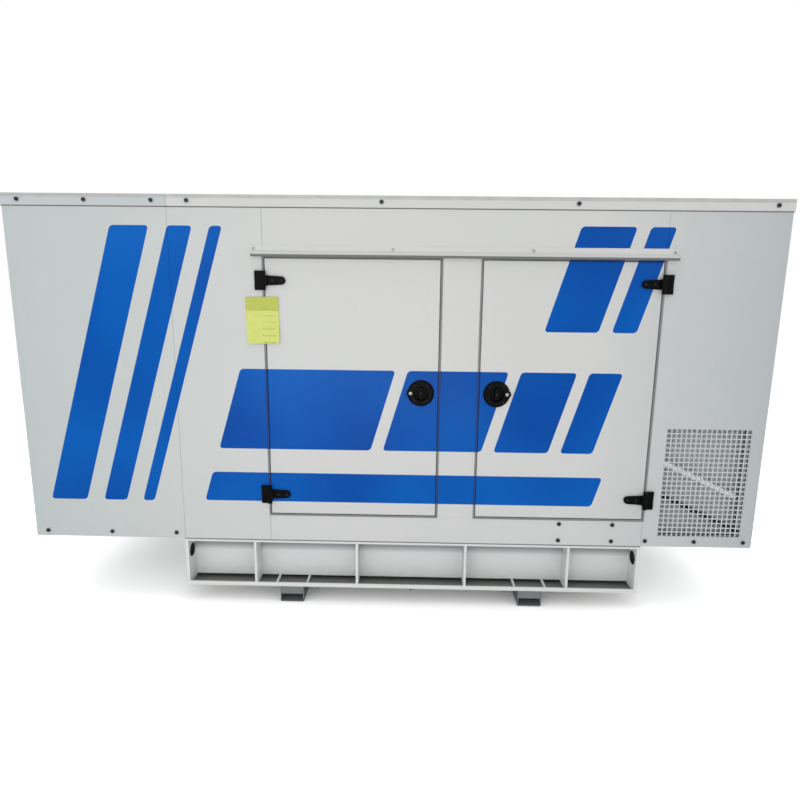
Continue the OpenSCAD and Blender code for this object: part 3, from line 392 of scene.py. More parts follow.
def copies(shape, places):
    """A shape repeated at each of the places, as one shape."""
    points, corners, sizes = shape
    places = np.array(places, float)
    count = len(places)
    return ((points[None] + places[:, None]).reshape(-1, 3),
            (corners[None] + np.arange(count)[:, None] * len(points)).reshape(-1),
            np.tile(sizes, count))


def far_side(shape):
    """The shape's mirror image on the far side of the set, where y is reversed."""
    return shape[0] * (1, -1, 1), shape[1], shape[2]


def mirrored(shape):
    """The shape and its mirror image on the far side of the set."""
    return joined(shape, far_side(shape))


SHARP_ANGLE = np.radians(35)


def piece(name, shape, finish, body="enclosure"):
    """Makes a piece of a shape, with its faces turned outwards and shaded smooth between sharp
    edges. It takes a finish, and rides a body if one is given."""
    points, corners, sizes = shape
    mesh = bpy.data.meshes.new(name)
    mesh.vertices.add(len(points))
    mesh.vertices.foreach_set("co", points.astype(np.float32).ravel())
    mesh.loops.add(len(corners))
    mesh.loops.foreach_set("vertex_index", corners.astype(np.int32))
    mesh.polygons.add(len(sizes))
    starts = np.concatenate([[0], np.cumsum(sizes)[:-1]])
    mesh.polygons.foreach_set("loop_start", starts.astype(np.int32))
    mesh.update(calc_edges=True)
    edit = bmesh.new()
    edit.from_mesh(mesh)
    bmesh.ops.recalc_face_normals(edit, faces=edit.faces)
    edit.to_mesh(mesh)
    edit.free()
    mesh.polygons.foreach_set("use_smooth", [True] * len(mesh.polygons))
    mesh.set_sharp_from_angle(angle=SHARP_ANGLE)
    mesh.materials.append(finish)
    made = bpy.data.objects.new(name, mesh)
    scene.collection.objects.link(made)
    if body:
        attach(made, body)
    return made


# Directions that turn a shape's own Z to the front or to either end
TO_FRONT = ((1, 0, 0), (0, 0, 1), (0, -1, 0))
TO_LEFT = ((0, 1, 0), (0, 0, 1), (-1, 0, 0))
TO_RIGHT = ((0, -1, 0), (0, 0, 1), (1, 0, 0))


def grained(name, colour, scale, depth, detail=2.0, **gloss):
    """A finish of one colour with a fine grain."""
    made, tree, shader, place = material(name, **gloss)
    connect(tree, shader, {"Base Color": linear(colour),
                           "Normal": bumps(tree, place, scale, detail, depth)})
    return made


def mottled(name, first, second, scale, detail=2.0, **gloss):
    """A smooth finish whose colour drifts between two shades."""
    made, tree, shader, place = material(name, **gloss)
    connect(tree, shader, {"Base Color": tone_between(tree, place, first, second, scale, detail)})
    return made


# Black-oxide steel: dark, with a dull shine
black_steel = grained("black oxide steel", "#26272a", 900.0, 0.05 * MM, 3.0, roughness=0.42,
                      metallic=0.6)
# Zinc-plated steel: pale and slightly cloudy
zinc = mottled("zinc-plated steel", "#8d9194", "#b3b6b7", 120.0, 4.0, roughness=0.4, metallic=0.85)

WASHER_T = 1.6
head = moved(lathe([(0, 0), (7.5, 0), (7.5, 4), (6.5, 5), (5.1, 5), (4.5, 4.5), (0, 4.5)], steps=6),
             (0, 0, WASHER_T * MM))
washer = lathe([(0, 0), (10.5, 0), (10.5, WASHER_T * 0.7), (9.9, WASHER_T), (0, WASHER_T)],
               steps=20)

cooling_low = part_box("cooling_roof")[0]
seam_x = roof_low.x
rim_z = roof_low.z + 21 * MM
foot_z = canopy_z + 24 * MM
rim_xs = [*np.linspace(x_left + 63 * MM, seam_x - 55 * MM, 3),
          *np.linspace(seam_x + 81 * MM, x_right - 60 * MM, 4)]
edge_xs = [*np.linspace(x_left + 50 * MM, seam_x - 37 * MM, 3),
           *np.linspace(intake_low.x + 16 * MM, x_right - 35 * MM, 3)]
# Four more stand in a square on the sill under the right door
SILL_XS = (700 * MM, 920 * MM)
SILL_ZS = (canopy_z + 20 * MM, canopy_z + 92 * MM)
wall_screws = [(x, roof_low.y, rim_z) for x in rim_xs]
wall_screws += [(x, face_y, foot_z) for x in edge_xs]
wall_screws += [(x, face_y, z) for x in SILL_XS for z in SILL_ZS]
END_YS = np.linspace(-480 * MM, 480 * MM, 5)
piece("wall_screw_heads", mirrored(copies(turned(head, TO_FRONT), wall_screws)), black_steel)
piece("wall_washers", mirrored(copies(turned(washer, TO_FRONT), wall_screws)), zinc)
for name, shape, finish, slot in (("end_screw_heads", head, black_steel, "black_nylon"),
                                  ("end_washers", washer, zinc, "galvanised")):
    at_left = copies(turned(shape, TO_LEFT), [(cooling_low.x, y, rim_z) for y in END_YS])
    at_right = copies(turned(shape, TO_RIGHT), [(roof_high.x, y, rim_z) for y in END_YS])
    piece(name, joined(at_left, at_right), finish)

# Closed-cell rubber, black or grey: dull, nearly without shine
rubber = grained("EPDM rubber", "#1b1c1e", 1400.0, 0.08 * MM, roughness=0.75, specular=0.25)
# This grey rubber also stands in for the shadow lines under the roof's rim and the drip rail's lip:
# painted shadow
grey_rubber_for_shadow_lines = grained("grey EPDM rubber for shadow lines", "#777876", 1400.0, 0.06 * MM, roughness=0.7,
                        specular=0.25)


def frame_strip(low, high, profile):
    """A strip that runs round an upright rectangle with mitred corners. Each point of its
    profile is a distance inwards from the rectangle's edges and a place along Y."""
    inset, depth = np.array(profile, float).T[:, :, None]
    corner_x = np.array([low[0], high[0], high[0], low[0]])
    corner_z = np.array([low[1], low[1], high[1], high[1]])
    inward_x = np.array([1, -1, -1, 1])
    inward_z = np.array([1, 1, -1, -1])
    rows = np.stack([corner_x + inset * inward_x, depth + 0 * corner_x,
                     corner_z + inset * inward_z], -1)
    return surface(np.concatenate([rows, rows[:1]]))


# A sealing strip squeezed out under the roof's rim, all round. Its grey also stands in for the
# shadow line under the rim: painted shadow.
GASKET_H = 4 * MM
GASKET_OUT = 1.8 * MM
rim_seal_and_shadow = frame_strip((x_left, face_y), (x_right, -face_y),
                     [(0, 0), (-GASKET_OUT, 0), (-GASKET_OUT, -GASKET_H * 0.7), (0, -GASKET_H)])
rim_seal_and_shadow = moved(turned(rim_seal_and_shadow, ((1, 0, 0), (0, 0, 1), (0, 1, 0))), (0, 0, roof_low.z))
piece("roof_seal_and_shadow_line", rim_seal_and_shadow, grey_rubber_for_shadow_lines)

# ---- Drip rails ----
# A folded strip screwed to the header above the doors with small pan-head screws. A grey rubber trim
# is pushed onto its lip; its grey also stands in for the shadow under the strip, a painted shadow.
drip_low, drip_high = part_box("drip_rails")
pan_head = lathe([(0, 0), (6, 0), (6, 1.2), (4.8, 2.8), (2.1, 3.6), (0, 3.6)], steps=20)
rail_z = drip_high.z - 13 * MM
rail_xs = np.linspace(drip_low.x + 8 * MM, drip_high.x - 12 * MM, 4)
rail_places = [(x, face_y - 2 * MM, rail_z) for x in rail_xs]
piece("rail_screws", mirrored(copies(turned(pan_head, TO_FRONT), rail_places)), zinc)


def bar(outline, start, end):
    """A bar of even section along X: its outline is pairs of Y and Z, and its ends are flat."""
    outline = np.array(outline, float)
    middle = outline.mean(0) + 0 * outline
    sections = np.stack([middle, outline, outline, middle])
    along = np.array([start, start, end, end])[:, None] + 0 * outline[:, 0]
    return surface(np.stack([along, sections[..., 0], sections[..., 1]], -1))


EDGING_H = 9 * MM
EDGING_T = 4.4 * MM
lip_y = drip_low.y + EDGING_T - 1.2 * MM
# The lip's trim, whose grey is also painted shadow under the strip
lip_trim_and_shadow = bar([(lip_y, drip_low.z - 1 * MM), (lip_y, drip_low.z + EDGING_H),
              (lip_y - EDGING_T, drip_low.z + EDGING_H - 1.5 * MM),
              (lip_y - EDGING_T, drip_low.z + 0.2 * MM),
              (lip_y - EDGING_T * 0.6, drip_low.z - 1 * MM)], drip_low.x, drip_high.x)
piece("drip_trim_and_shadow_line", mirrored(lip_trim_and_shadow), grey_rubber_for_shadow_lines)

# ---- Door seals ----
# Grey extruded edge trim pushed onto the frame's folds, all round each doorway. It half fills
# the gap beside the door.
trim_grey, tree, shader, place = material("extruded grey PVC trim", 0.6, specular=0.3)
tone = tone_between(tree, place, "#8f9090", "#7f8080", 90.0, 2.0)
# The blue film was laid across the gaps and cut there, so its edge is folded onto the trim
tone = add(tree, "Mix", {0: inside_film(tree, place), 6: tone, 7: linear("#1d3f7c")},
           data_type="RGBA")
connect(tree, shader, {"Base Color": tone})
TRIM_T = 3.4 * MM
TRIM_LAP = 4.2 * MM
TRIM_OUT = 1.7 * MM
DOOR_GAP = 6 * MM
trim_back = face_y + 27 * MM
trim_profile = [(0, trim_back), (TRIM_T, trim_back), (TRIM_T, face_y),
                (TRIM_T * 0.5, face_y - TRIM_OUT * 0.8), (0, face_y - TRIM_OUT),
                (-TRIM_LAP * 0.8, face_y - TRIM_OUT), (-TRIM_LAP, face_y - TRIM_OUT * 0.5),
                (-TRIM_LAP, face_y), (0, face_y)]
seals = [frame_strip((low.x - DOOR_GAP, low.z - DOOR_GAP), (high.x + DOOR_GAP, high.z + DOOR_GAP),
                     trim_profile) for low, high in (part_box("left_door"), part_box("right_door"))]
piece("door_seals", mirrored(joined(*seals)), trim_grey)

# ---- Intake grille and baffles ----
# Perforated sheet painted with the canopy. Behind it the baffles are painted light grey, and a
# bright capping runs along the sloping plate's edge.
sheet_paint, *_ = powder_coat("powder coat on perforated sheet", "#d2d5d6", "#c9cdcf", 0.35)
dress(sheet_paint, "front_grille", "rear_grille", "discharge_louvre")

galvanised, tree, shader, place = material("hot-dip galvanised sheet", 0.45, 0.75)
# Zinc flakes of about 12 mm, each of its own shade
flakes = add(tree, "TexVoronoi", {"Vector": place, "Scale": 85.0})
tone = add(tree, "ValToRGB", {"Fac": flakes.outputs["Color"]})
tone.color_ramp.elements[0].color = linear("#8f9496")
tone.color_ramp.elements[1].color = linear("#b9bdbe")
connect(tree, shader, {"Base Color": tone})
dress(galvanised, "floor_pans", "door_stops")

baffle_paint, *_ = powder_coat("powder coat inside the intake", "#c6cacb", "#b9bec0", 0.5)
dress(baffle_paint, "intake_baffles")

baffle_low, baffle_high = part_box("intake_baffles")
PLATE_TOP = 370 * MM  # where the sloping plate starts, above the floor tray
PLATE_RUN = 310 * MM
LOW_TOP = 230 * MM  # where the sloping sheet under it starts
LOW_RUN = baffle_high.x - baffle_low.x
PLATE_SLOPE = 0.465  # how far both plates fall for each length that they run
ACROSS = ((0, 1, 0), (1, 0, 0), (0, 0, 1))


def edge_strip(top, run, rise, height, front, back):
    """A straight strip that follows a sloping plate's front edge: its upper side starts a rise
    above the plate, and it falls by the plate's slope over its run."""
    fall = PLATE_SLOPE * run
    outline = [(baffle_low.x, top + rise), (baffle_low.x + run, top - fall + rise),
               (baffle_low.x + run, top - fall + rise - height), (baffle_low.x, top + rise - height)]
    return turned(bar(outline, front, back), ACROSS)


cap_paint, *_ = powder_coat("white powder coat on aluminium", "#eceded", "#e4e6e6", 0.4)
capping = edge_strip(baffle_low.z + PLATE_TOP, PLATE_RUN, 1 * MM, 20 * MM,
                     face_y + 6.5 * MM, face_y + 40 * MM)
piece("baffle_capping", mirrored(capping), cap_paint)

# The baffle box is folded out at its foot and its outer side, and spot-welded to the wall there
grille_low, grille_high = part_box("front_grille")
FLANGE_T = 1.5 * MM
FLANGE_Y = face_y + 15 * MM
FLANGE_W = 23.5 * MM
foot_flange = bar([(FLANGE_Y, grille_low.z), (FLANGE_Y + 18 * MM, grille_low.z),
                   (FLANGE_Y + 18 * MM, grille_low.z + FLANGE_T),
                   (FLANGE_Y + FLANGE_T, grille_low.z + FLANGE_T),
                   (FLANGE_Y + FLANGE_T, grille_low.z + 16 * MM),
                   (FLANGE_Y, grille_low.z + 16 * MM)],
                  grille_low.x + 2 * MM, grille_high.x - FLANGE_W - 0.5 * MM)
side_flange = bar([(FLANGE_Y, grille_low.z), (FLANGE_Y, grille_high.z),
                   (FLANGE_Y + FLANGE_T, grille_high.z), (FLANGE_Y + FLANGE_T, grille_low.z)],
                  grille_high.x - FLANGE_W, grille_high.x + 3 * MM)
piece("baffle_flanges", mirrored(joined(foot_flange, side_flange)), baffle_paint)
# A black rubber strip under the lower sloping sheet's edge, painted shadow for the dark line beneath
# that sheet
lower_shadow_strip = edge_strip(baffle_low.z + LOW_TOP, LOW_RUN, -2 * MM, 15 * MM,
                        face_y + 14 * MM, face_y + 60 * MM)
piece("baffle_shadow_strip", mirrored(lower_shadow_strip), rubber)

# ---- Foam linings ----
# Charcoal acoustic foam with open cells of about 2 mm, and dull. It is glued into the folded
# panels and the doors, and under the roof.
FOAM_TONES = ("#2a2b2e", "#4a4b4e", 60.0, 8.0)
foam, tree, shader, place = material("open-cell acoustic foam", 0.95)
cells = add(tree, "TexVoronoi", {"Vector": place, "Scale": 420.0})
hollow = add(tree, "Bump", {"Height": cells, "Distance": 0.6 * MM})
connect(tree, shader, {"Base Color": tone_between(tree, place, *FOAM_TONES), "Normal": hollow})
dress(foam, "wall_linings", "roof_lining", "left_door_lining", "right_door_lining")

# ---- Hinges and latches ----
# Knuckled hinges and dished latches of moulded black nylon with a fine spark-eroded texture.
# Screws hold them to the doors and to the panels beside the doorways.
nylon, tree, shader, place = material("moulded glass-filled nylon", 0.38, specular=0.08)
rounded = add(tree, "Bevel", {"Radius": 1.2 * MM}, samples=4)
connect(tree, shader, {"Base Color": linear("#050506"),
                       "Normal": bumps(tree, place, 1600.0, 2.0, 0.04 * MM, rounded)})
dress(nylon, "hinge_leaves", "left_hinge_straps", "right_hinge_straps", "rear_hinges",
      "left_latch", "right_latch", "rear_latches", "left_handle", "right_handle")

# Black pan-head screws in the hinges' leaves and straps
strap_low, strap_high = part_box("left_hinge_straps")
STRAP_HALF = 19.7 * MM
KNUCKLE_R = 9 * MM
left_pin = strap_low.x + KNUCKLE_R
right_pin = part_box("right_hinge_straps")[1].x - KNUCKLE_R
hinge_zs = [strap_low.z + STRAP_HALF, strap_high.z - STRAP_HALF]
hinge_screw = turned(lathe([(0, 0), (4.6, 0), (4.6, 0.8), (3.45, 1.9), (1.656, 2.3),
                            (1.656, 1.2), (0, 1.2)], steps=18), TO_FRONT)
LEAF_OUT = 7 * MM
LEAF_SCREW_IN = 24 * MM
LEAF_SCREW_UP = 27 * MM
leaf_places = [(pin + side * LEAF_SCREW_IN, face_y - LEAF_OUT, z + step * LEAF_SCREW_UP)
               for z in hinge_zs for pin, side in ((left_pin, -1), (right_pin, 1))
               for step in (-1, 1)]
piece("leaf_screws", mirrored(copies(hinge_screw, leaf_places)), black_steel)
STRAP_OUT = 9 * MM
STRAP_SCREWS = (34 * MM, 70 * MM)
strap_screws = []
for side, pin, inward in (("left", left_pin, 1), ("right", right_pin, -1)):
    strap_screws.append(copies(hinge_screw, [(pin + inward * step, face_y - STRAP_OUT, z)
                                             for z in hinge_zs for step in STRAP_SCREWS]))
    piece(side + "_strap_screws", strap_screws[-1], black_steel, side + "_leaf")
piece("rear_strap_screws", far_side(joined(*strap_screws)), black_steel)


def on_circle(radius, angles):
    """The points of a circle at angles in degrees, each as its two distances from the middle."""
    return [(radius * np.cos(a), radius * np.sin(a)) for a in np.radians(angles)]


# Satin chrome covers of the key cylinders, each with a small round keyhole
chrome = grained("satin chrome", "#9fa09f", 2200.0, 0.02 * MM, 1.0, roughness=0.3, metallic=0.9)
key_cover = turned(lathe([(0, 0), (7, 0), (7, 1.2), (5.7, 2), (2.2, 2), (1.6, 0.4), (0, 0.4)],
                         steps=28), TO_FRONT)
latch_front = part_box("left_latch")[0].y
hub_cap = turned(lathe([(0, 0), (4.6, 0), (4.6, 0.6), (3.6, 1.4), (0, 1.8)], steps=6, start=0.3),
                 TO_FRONT)
flange_screw = turned(lathe([(0, 0), (3.2, 0), (3.2, 0.5), (1.4, 1.5), (1.2, 0.6), (0, 0.6)],
                            steps=14), TO_FRONT)
DISH_R = 41 * MM
DISH_SUNK = 1.2 * MM
latch_xs = {}
for side, key_side in (("left", -1), ("right", 1)):
    grip_low, grip_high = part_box(side + "_handle")
    latch_x = latch_xs[side] = (grip_low.x + grip_high.x) / 2
    latch_z = (grip_low.z + grip_high.z) / 2
    cover = moved(key_cover, (latch_x + key_side * DISH_R, latch_front, latch_z))
    screws = copies(flange_screw, [(latch_x + x, latch_front + DISH_SUNK, latch_z + z)
                                   for x, z in on_circle(DISH_R, (50, 130, 230, 310))])
    leaf = side + "_leaf"
    piece(side + "_key_cover", cover, chrome, leaf)
    piece(side + "_latch_screws", screws, black_steel, leaf)
    piece(side + "_handle_cap", moved(hub_cap, (latch_x, grip_low.y, latch_z)), black_steel,
          side + "_wing")
    piece("rear_" + side + "_key_cover", far_side(cover), chrome)
    piece("rear_" + side + "_latch_screws", far_side(screws), black_steel)

# ---- Paper tag ----
# A sheet of yellow paper taped across the left hinge line. Its lower end curls forward, and
# its ruled form is empty.
TAG_W = 129 * MM
TAG_H = 182 * MM
TAG_T = 0.5 * MM
tag_x = left_pin - 74 * MM
tag_top = canopy_z + 1009 * MM
across = np.linspace(0, 1, 44)[None, :]
down = np.linspace(0, 1, 40)[:, None]
CURL = 18 * MM
RIPPLE = 0.7 * MM
TAPE_OUT = 3.2 * MM
SLIP = 2.0 * MM
TILT = 2.5 * MM


def tag_sheet(depth):
    """Paper that lies flat down to 0.45 of its height and lifts with the square of the way past
    it, most at the lower right corner, with a shallow sine wave across. It hangs a little
    askew. The depth is its thickness."""
    lift = CURL * np.clip(down - 0.45, 0, 1) ** 2 * (0.5 + across)
    ripple = RIPPLE * np.sin(across * 5 + 0.6) * (0.3 + down)
    y = face_y - TAPE_OUT - lift - ripple - depth
    x = tag_x + TAG_W * across + SLIP * (down - 0.5)
    z = tag_top - TAG_H * down + TILT * (across - 0.5)
    return np.stack([x + 0 * down, y, z + 0 * across], -1)


front, back = tag_sheet(TAG_T), tag_sheet(0)
paper_rows = np.concatenate([front, back[:, ::-1]], 1)
closing = np.stack([front, back], 0)
tag_ends = [surface(closing[:, k], around=False) for k in (0, -1)]
paper, tree, shader, place = material("yellow carbonless paper", 0.8, specular=0.2)
at = add(tree, "SeparateXYZ", {"Vector": place})
# Ruled lines 26 mm apart in a box at the form's right, printed thinly, and a darker head
RULE_STEP = 26 * MM
ruled = add(tree, "Math", {0: at.outputs["Z"], 1: RULE_STEP / 2}, operation="PINGPONG")
ruled = add(tree, "Math", {0: ruled, 1: 1.5 * MM}, operation="LESS_THAN")
worn = add(tree, "TexNoise", {"Vector": place, "Scale": 70.0, "Detail": 2.0})
worn = add(tree, "MapRange", {"Value": worn, "From Min": 0.4, "From Max": 0.6,
                              "To Min": 0.15, "To Max": 0.8})
ruled = add(tree, "Math", {0: ruled, 1: worn}, operation="MULTIPLY")
for axis, limit, side in (("X", tag_x + 62 * MM, "GREATER_THAN"),
                          ("X", tag_x + 116 * MM, "LESS_THAN"),
                          ("Z", tag_top - 46 * MM, "LESS_THAN")):
    part = add(tree, "Math", {0: at.outputs[axis], 1: limit}, operation=side)
    ruled = add(tree, "Math", {0: ruled, 1: part}, operation="MULTIPLY")
head_band = add(tree, "Math", {0: at.outputs["Z"], 1: tag_top - 54 * MM}, operation="GREATER_THAN")
tone = tone_between(tree, place, "#e2e78c", "#d2d975", 60.0, 4.0)
tone = add(tree, "Mix", {0: head_band, 6: tone, 7: linear("#c3ca62")}, data_type="RGBA")
tone = add(tree, "Mix", {0: ruled, 6: tone, 7: linear("#8f9540")}, data_type="RGBA")
connect(tree, shader, {"Base Color": tone, "Normal": bumps(tree, place, 60.0, 4.0, 0.3 * MM)})
tag_shape = joined(surface(paper_rows), *tag_ends)
tag = piece("paper_tag", weld(tag_shape[0], tag_shape[1].reshape(-1, 4)), paper,
            None)
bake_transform(tag)

# ---- Base ----
# Plate and folded channel, welded and then sprayed in satin light grey. Grey sealant beds the canopy
# on the deck and also stands in for the shadow line there, and rubber grommets line the lifting
# holes.
base_paint, tree, shader, place, tone = powder_coat("satin chassis enamel", "#ebedeb",
                                                    "#e3e6e6", 0.42)
tank_low, tank_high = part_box("fuel_tank")
rail_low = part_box("bottom_rails")[0]
at = add(tree, "SeparateXYZ", {"Vector": place})
# Painted shade and dirt darken the corners where the plates meet, as occlusion finds them, in
# patches
corner = add(tree, "AmbientOcclusion", {"Distance": 0.09}, samples=6)
grime = add(tree, "TexNoise", {"Vector": place, "Scale": 30.0, "Detail": 5.0})
grime = add(tree, "MapRange", {"Value": grime, "From Min": 0.3, "From Max": 0.7,
                               "To Min": 0.08, "To Max": 0.34})
corner_shade_and_grime = add(tree, "Math", {0: 1.0, 1: corner.outputs["AO"]}, operation="SUBTRACT")
corner_shade_and_grime = add(tree, "Math", {0: corner_shade_and_grime, 1: grime}, operation="MULTIPLY")
shaded_and_soiled = add(tree, "Mix", {0: corner_shade_and_grime, 6: tone, 7: linear("#8b8981")}, data_type="RGBA")
# Painted shadow under the deck's lip: a grey band on the tank's side, darkest just under the lip and
# fading downwards
deck_low, deck_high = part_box("deck")
depth = add(tree, "Math", {0: at.outputs["Y"]}, operation="ABSOLUTE")
lip_shadow = add(tree, "MapRange", {"Value": at.outputs["Z"], "From Min": deck_low.z - 74 * MM,
                              "From Max": deck_low.z - 46 * MM, "To Max": 0.8})
on_tank = add(tree, "Math", {0: depth, 1: 12 * MM - tank_low.y}, operation="LESS_THAN")
lip_shadow = add(tree, "Math", {0: lip_shadow, 1: on_tank}, operation="MULTIPLY")
shaded_and_soiled = add(tree, "Mix", {0: lip_shadow, 6: shaded_and_soiled, 7: linear("#84898b")}, data_type="RGBA")
# Painted shadow in the slot behind the rail: its flat leg is painted nearly black, darkest against
# the tank
below = add(tree, "Math", {0: at.outputs["Z"], 1: rail_low.z + 5.6 * MM}, operation="LESS_THAN")
inner = add(tree, "Math", {0: depth, 1: -rail_low.y - 5.4 * MM}, operation="LESS_THAN")
slot_shadow = add(tree, "Math", {0: below, 1: inner}, operation="MULTIPLY")
slot_shadow_tone = add(tree, "MapRange", {"Value": depth, "From Min": 12 * MM - tank_low.y,
                                  "From Max": 56 * MM - tank_low.y})
slot_shadow_tone = add(tree, "Mix", {0: slot_shadow_tone, 6: linear("#343432"), 7: linear("#7d7c79")},
               data_type="RGBA")
skin = add(tree, "Mix", {0: slot_shadow, 6: shaded_and_soiled, 7: slot_shadow_tone}, data_type="RGBA")
connect(tree, shader, {"Base Color": skin})
dress(base_paint, "deck", "fuel_tank", "bottom_rails", "side_ribs", "tie_plates",
      "left_end_plate", "right_end_plate", "skid_beams", "cabinet_legs")
foot_paint, *_ = powder_coat("grey primer on mild steel", "#83888b", "#777c7f", 0.6)
dress(foot_paint, "feet")

# The sealant squeezed out between the canopy and the deck's lip, whose grey also stands in for the
# shadow line along that seam: painted shadow
lip_y, lip_top = deck_low.y, deck_high.z
bedding_and_shadow_line = bar([(lip_y, lip_top), (lip_y - 3.2 * MM, lip_top), (lip_y - 3.0 * MM, lip_top - 4 * MM),
               (lip_y - 1.6 * MM, lip_top - 6.5 * MM), (lip_y, lip_top - 7 * MM)],
              deck_low.x + 2 * MM, deck_high.x - 2 * MM)
piece("canopy_bedding_and_shadow_line", mirrored(bedding_and_shadow_line), trim_grey)


def bead(length, radius):
    """A run of weld along Z, in millimetres: a thin bar whose radius rises and falls by a
    fifth, as the size of a sine does, once for each 3.5 mm that the torch steps on."""
    height = np.linspace(0, length, int(length / 1.2))
    size = radius * (1 + 0.2 * np.abs(np.sin(np.pi * height / 3.5 + 0.4)))
    size[[0, -1]] = 0
    return lathe(np.stack([size, height], 1), steps=6)


# Weld beads in the corners between the ribs, the end plates and the tank
ribs_low, ribs_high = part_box("side_ribs")
RIB_T = 10 * MM
base_mid = (deck_low.x + deck_high.x) / 2
OUTER_RIB = (ribs_high.x - ribs_low.x - RIB_T) / 2
INNER_RIB = 229.5 * MM
bead_xs = [base_mid + rib + side * RIB_T / 2
           for rib in (-OUTER_RIB, -INNER_RIB, INNER_RIB, OUTER_RIB) for side in (-1, 1)]
bead_xs += [tank_low.x, tank_high.x]
weld_run = moved(bead((tank_high.z - tank_low.z) / MM - 14, 2.6),
                 (0, tank_low.y, tank_low.z + 6 * MM))
piece("weld_beads", mirrored(copies(weld_run, [(x, 0, 0) for x in bead_xs])), base_paint)

# Black grommets line the lifting holes in the end plates
plate_low, plate_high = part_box("left_end_plate")
end_t = (plate_high.x - plate_low.x) / MM
lift_y = (deck_high.y + tank_high.y) / 2
lift_z = deck_high.z - 74 * MM
grommet = lathe([(27.8, 0), (29.5, -0.3), (28, -1.4), (21, -1.4), (20, 0), (20, end_t),
                 (21, end_t + 1.4), (28, end_t + 1.4), (29.5, end_t + 0.3), (27.8, end_t),
                 (27.8, 0)], steps=40)
places = [(x, side * lift_y, lift_z) for x in (plate_low.x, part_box("right_end_plate")[0].x)
          for side in (-1, 1)]
piece("lifting_grommets", copies(turned(grommet, TO_RIGHT), places), rubber)

# Hexagon plugs under the bottom rail
plug = lathe([(0, 0), (8, 0), (8, -9), (6.8, -10.5), (4, -10.5), (4, -14), (0, -14)], steps=6)
PLUG_STEP = 402 * MM
plug_places = [(base_mid + k * PLUG_STEP, rail_low.y + 9 * MM, rail_low.z) for k in (-1, 0, 1)]
piece("rail_plugs", mirrored(copies(plug, plug_places)), foot_paint)

# ---- Door linings' washers ----
# Round spring washers of plated steel, pushed onto welded pins, hold the foam. They ride with
# the doors.
spring_washer = lathe([(0, 0), (15, 0), (15, 0.6), (9, 1.6), (3, 2.2), (2.2, 5), (0, 5)], steps=24)
TO_REAR = ((1, 0, 0), (0, 0, -1), (0, 1, 0))
PIN_IN = 90 * MM
for side in ("left", "right"):
    low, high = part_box(side + "_door_lining")
    # No pin stands where the latch's dish comes through
    pins = [(x, high.y, z) for x in np.linspace(low.x + PIN_IN, high.x - PIN_IN, 4)
            for z in np.linspace(low.z + PIN_IN, high.z - PIN_IN, 5)
            if abs(x - latch_xs[side]) > 60 * MM or abs(z - grip_low.z) > 110 * MM]
    piece(side + "_foam_washers", copies(turned(spring_washer, TO_REAR), pins), zinc,
          side + "_leaf")

# ---- Rear doors ----
# They don't open. Outside they are painted and filmed as the front doors are, and inside they
# carry the foam that shows through the front doorways.
rear_paint, tree, shader, place = material("powder coat and foam of the rear doors", specular=0.1)
at = add(tree, "SeparateXYZ", {"Vector": place})
inside = add(tree, "Math", {0: at.outputs["Y"], 1: -face_y - 30 * MM}, operation="LESS_THAN")
coat = tone_between(tree, place, "#dbdbd9", "#d5d7d6", 1.6, 3.0)
blue = tone_between(tree, place, "#004ba6", "#0064c2", 1.6, 3.0)
coat = add(tree, "Mix", {0: inside_film(tree, place), 6: coat, 7: blue}, data_type="RGBA")
foam_tone = tone_between(tree, place, *FOAM_TONES)
skin = add(tree, "Mix", {0: inside, 6: coat, 7: foam_tone}, data_type="RGBA")
dull = add(tree, "MapRange", {"Value": inside, "To Min": 0.26, "To Max": 0.95})
connect(tree, shader, {"Base Color": skin, "Roughness": dull, "Normal": sheet_bump(tree, place)})
dress(rear_paint, "rear_doors")

# ---- End walls ----
# Folded sheet in the roof's paint, with blind rivets round its edges. More of them hold the
# discharge louvre's frame in the left wall.
rivet = lathe([(0, 0), (4.2, 0), (3.612, 0.9), (1.89, 1.5), (1.26, 1.2), (0, 1.2)], steps=14)
wall_low, wall_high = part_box("right_end_wall")
left_wall_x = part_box("left_end_wall")[0].x
louvre_low, louvre_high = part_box("discharge_louvre")


def rivet_ring(low_y, high_y, low_z, high_z, pitch):
    """Places of rivets round an upright rectangle, evenly spaced along each side at about the
    pitch given, as pairs of Y and Z."""
    rows = int(round((high_z - low_z) / pitch)) + 1
    columns = int(round((high_y - low_y) / pitch)) + 1
    sides = [(y, z) for z in np.linspace(low_z, high_z, rows) for y in (low_y, high_y)]
    ends = [(y, z) for y in np.linspace(low_y, high_y, columns)[1:-1] for z in (low_z, high_z)]
    return sides + ends


EDGE_IN = 14 * MM
around_wall = rivet_ring(wall_low.y + EDGE_IN, wall_high.y - EDGE_IN, wall_low.z + EDGE_IN,
                         roof_low.z - EDGE_IN, 150 * MM)
around_louvre = rivet_ring(louvre_low.y - EDGE_IN, louvre_high.y + EDGE_IN,
                           louvre_low.z - EDGE_IN, louvre_high.z + EDGE_IN, 120 * MM)
right_rivets = copies(turned(rivet, TO_RIGHT), [(wall_high.x, y, z) for y, z in around_wall])
left_rivets = copies(turned(rivet, TO_LEFT), [(left_wall_x, y, z)
                                              for y, z in around_wall + around_louvre])
piece("end_wall_rivets", joined(right_rivets, left_rivets), roof_paint)

# ---- Radiator ----
# Black enamelled tanks and posts, with a core of blackened copper fins between flat tubes. It
# stands at the left end, next to the discharge louvre.
black_paint, *_ = powder_coat("black radiator enamel", "#26282a", "#1e2022", 0.4)
dress(black_paint, "radiator", "fan_shroud", "fan", "air_filter")
radiator_low, radiator_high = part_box("radiator")
CORE_IN = 30 * MM
core_low_z = radiator_low.z + 50 * MM
core_high_z = radiator_high.z - 114 * MM
FIN_PITCH = 6 * MM
FIN_DEPTH = 9 * MM


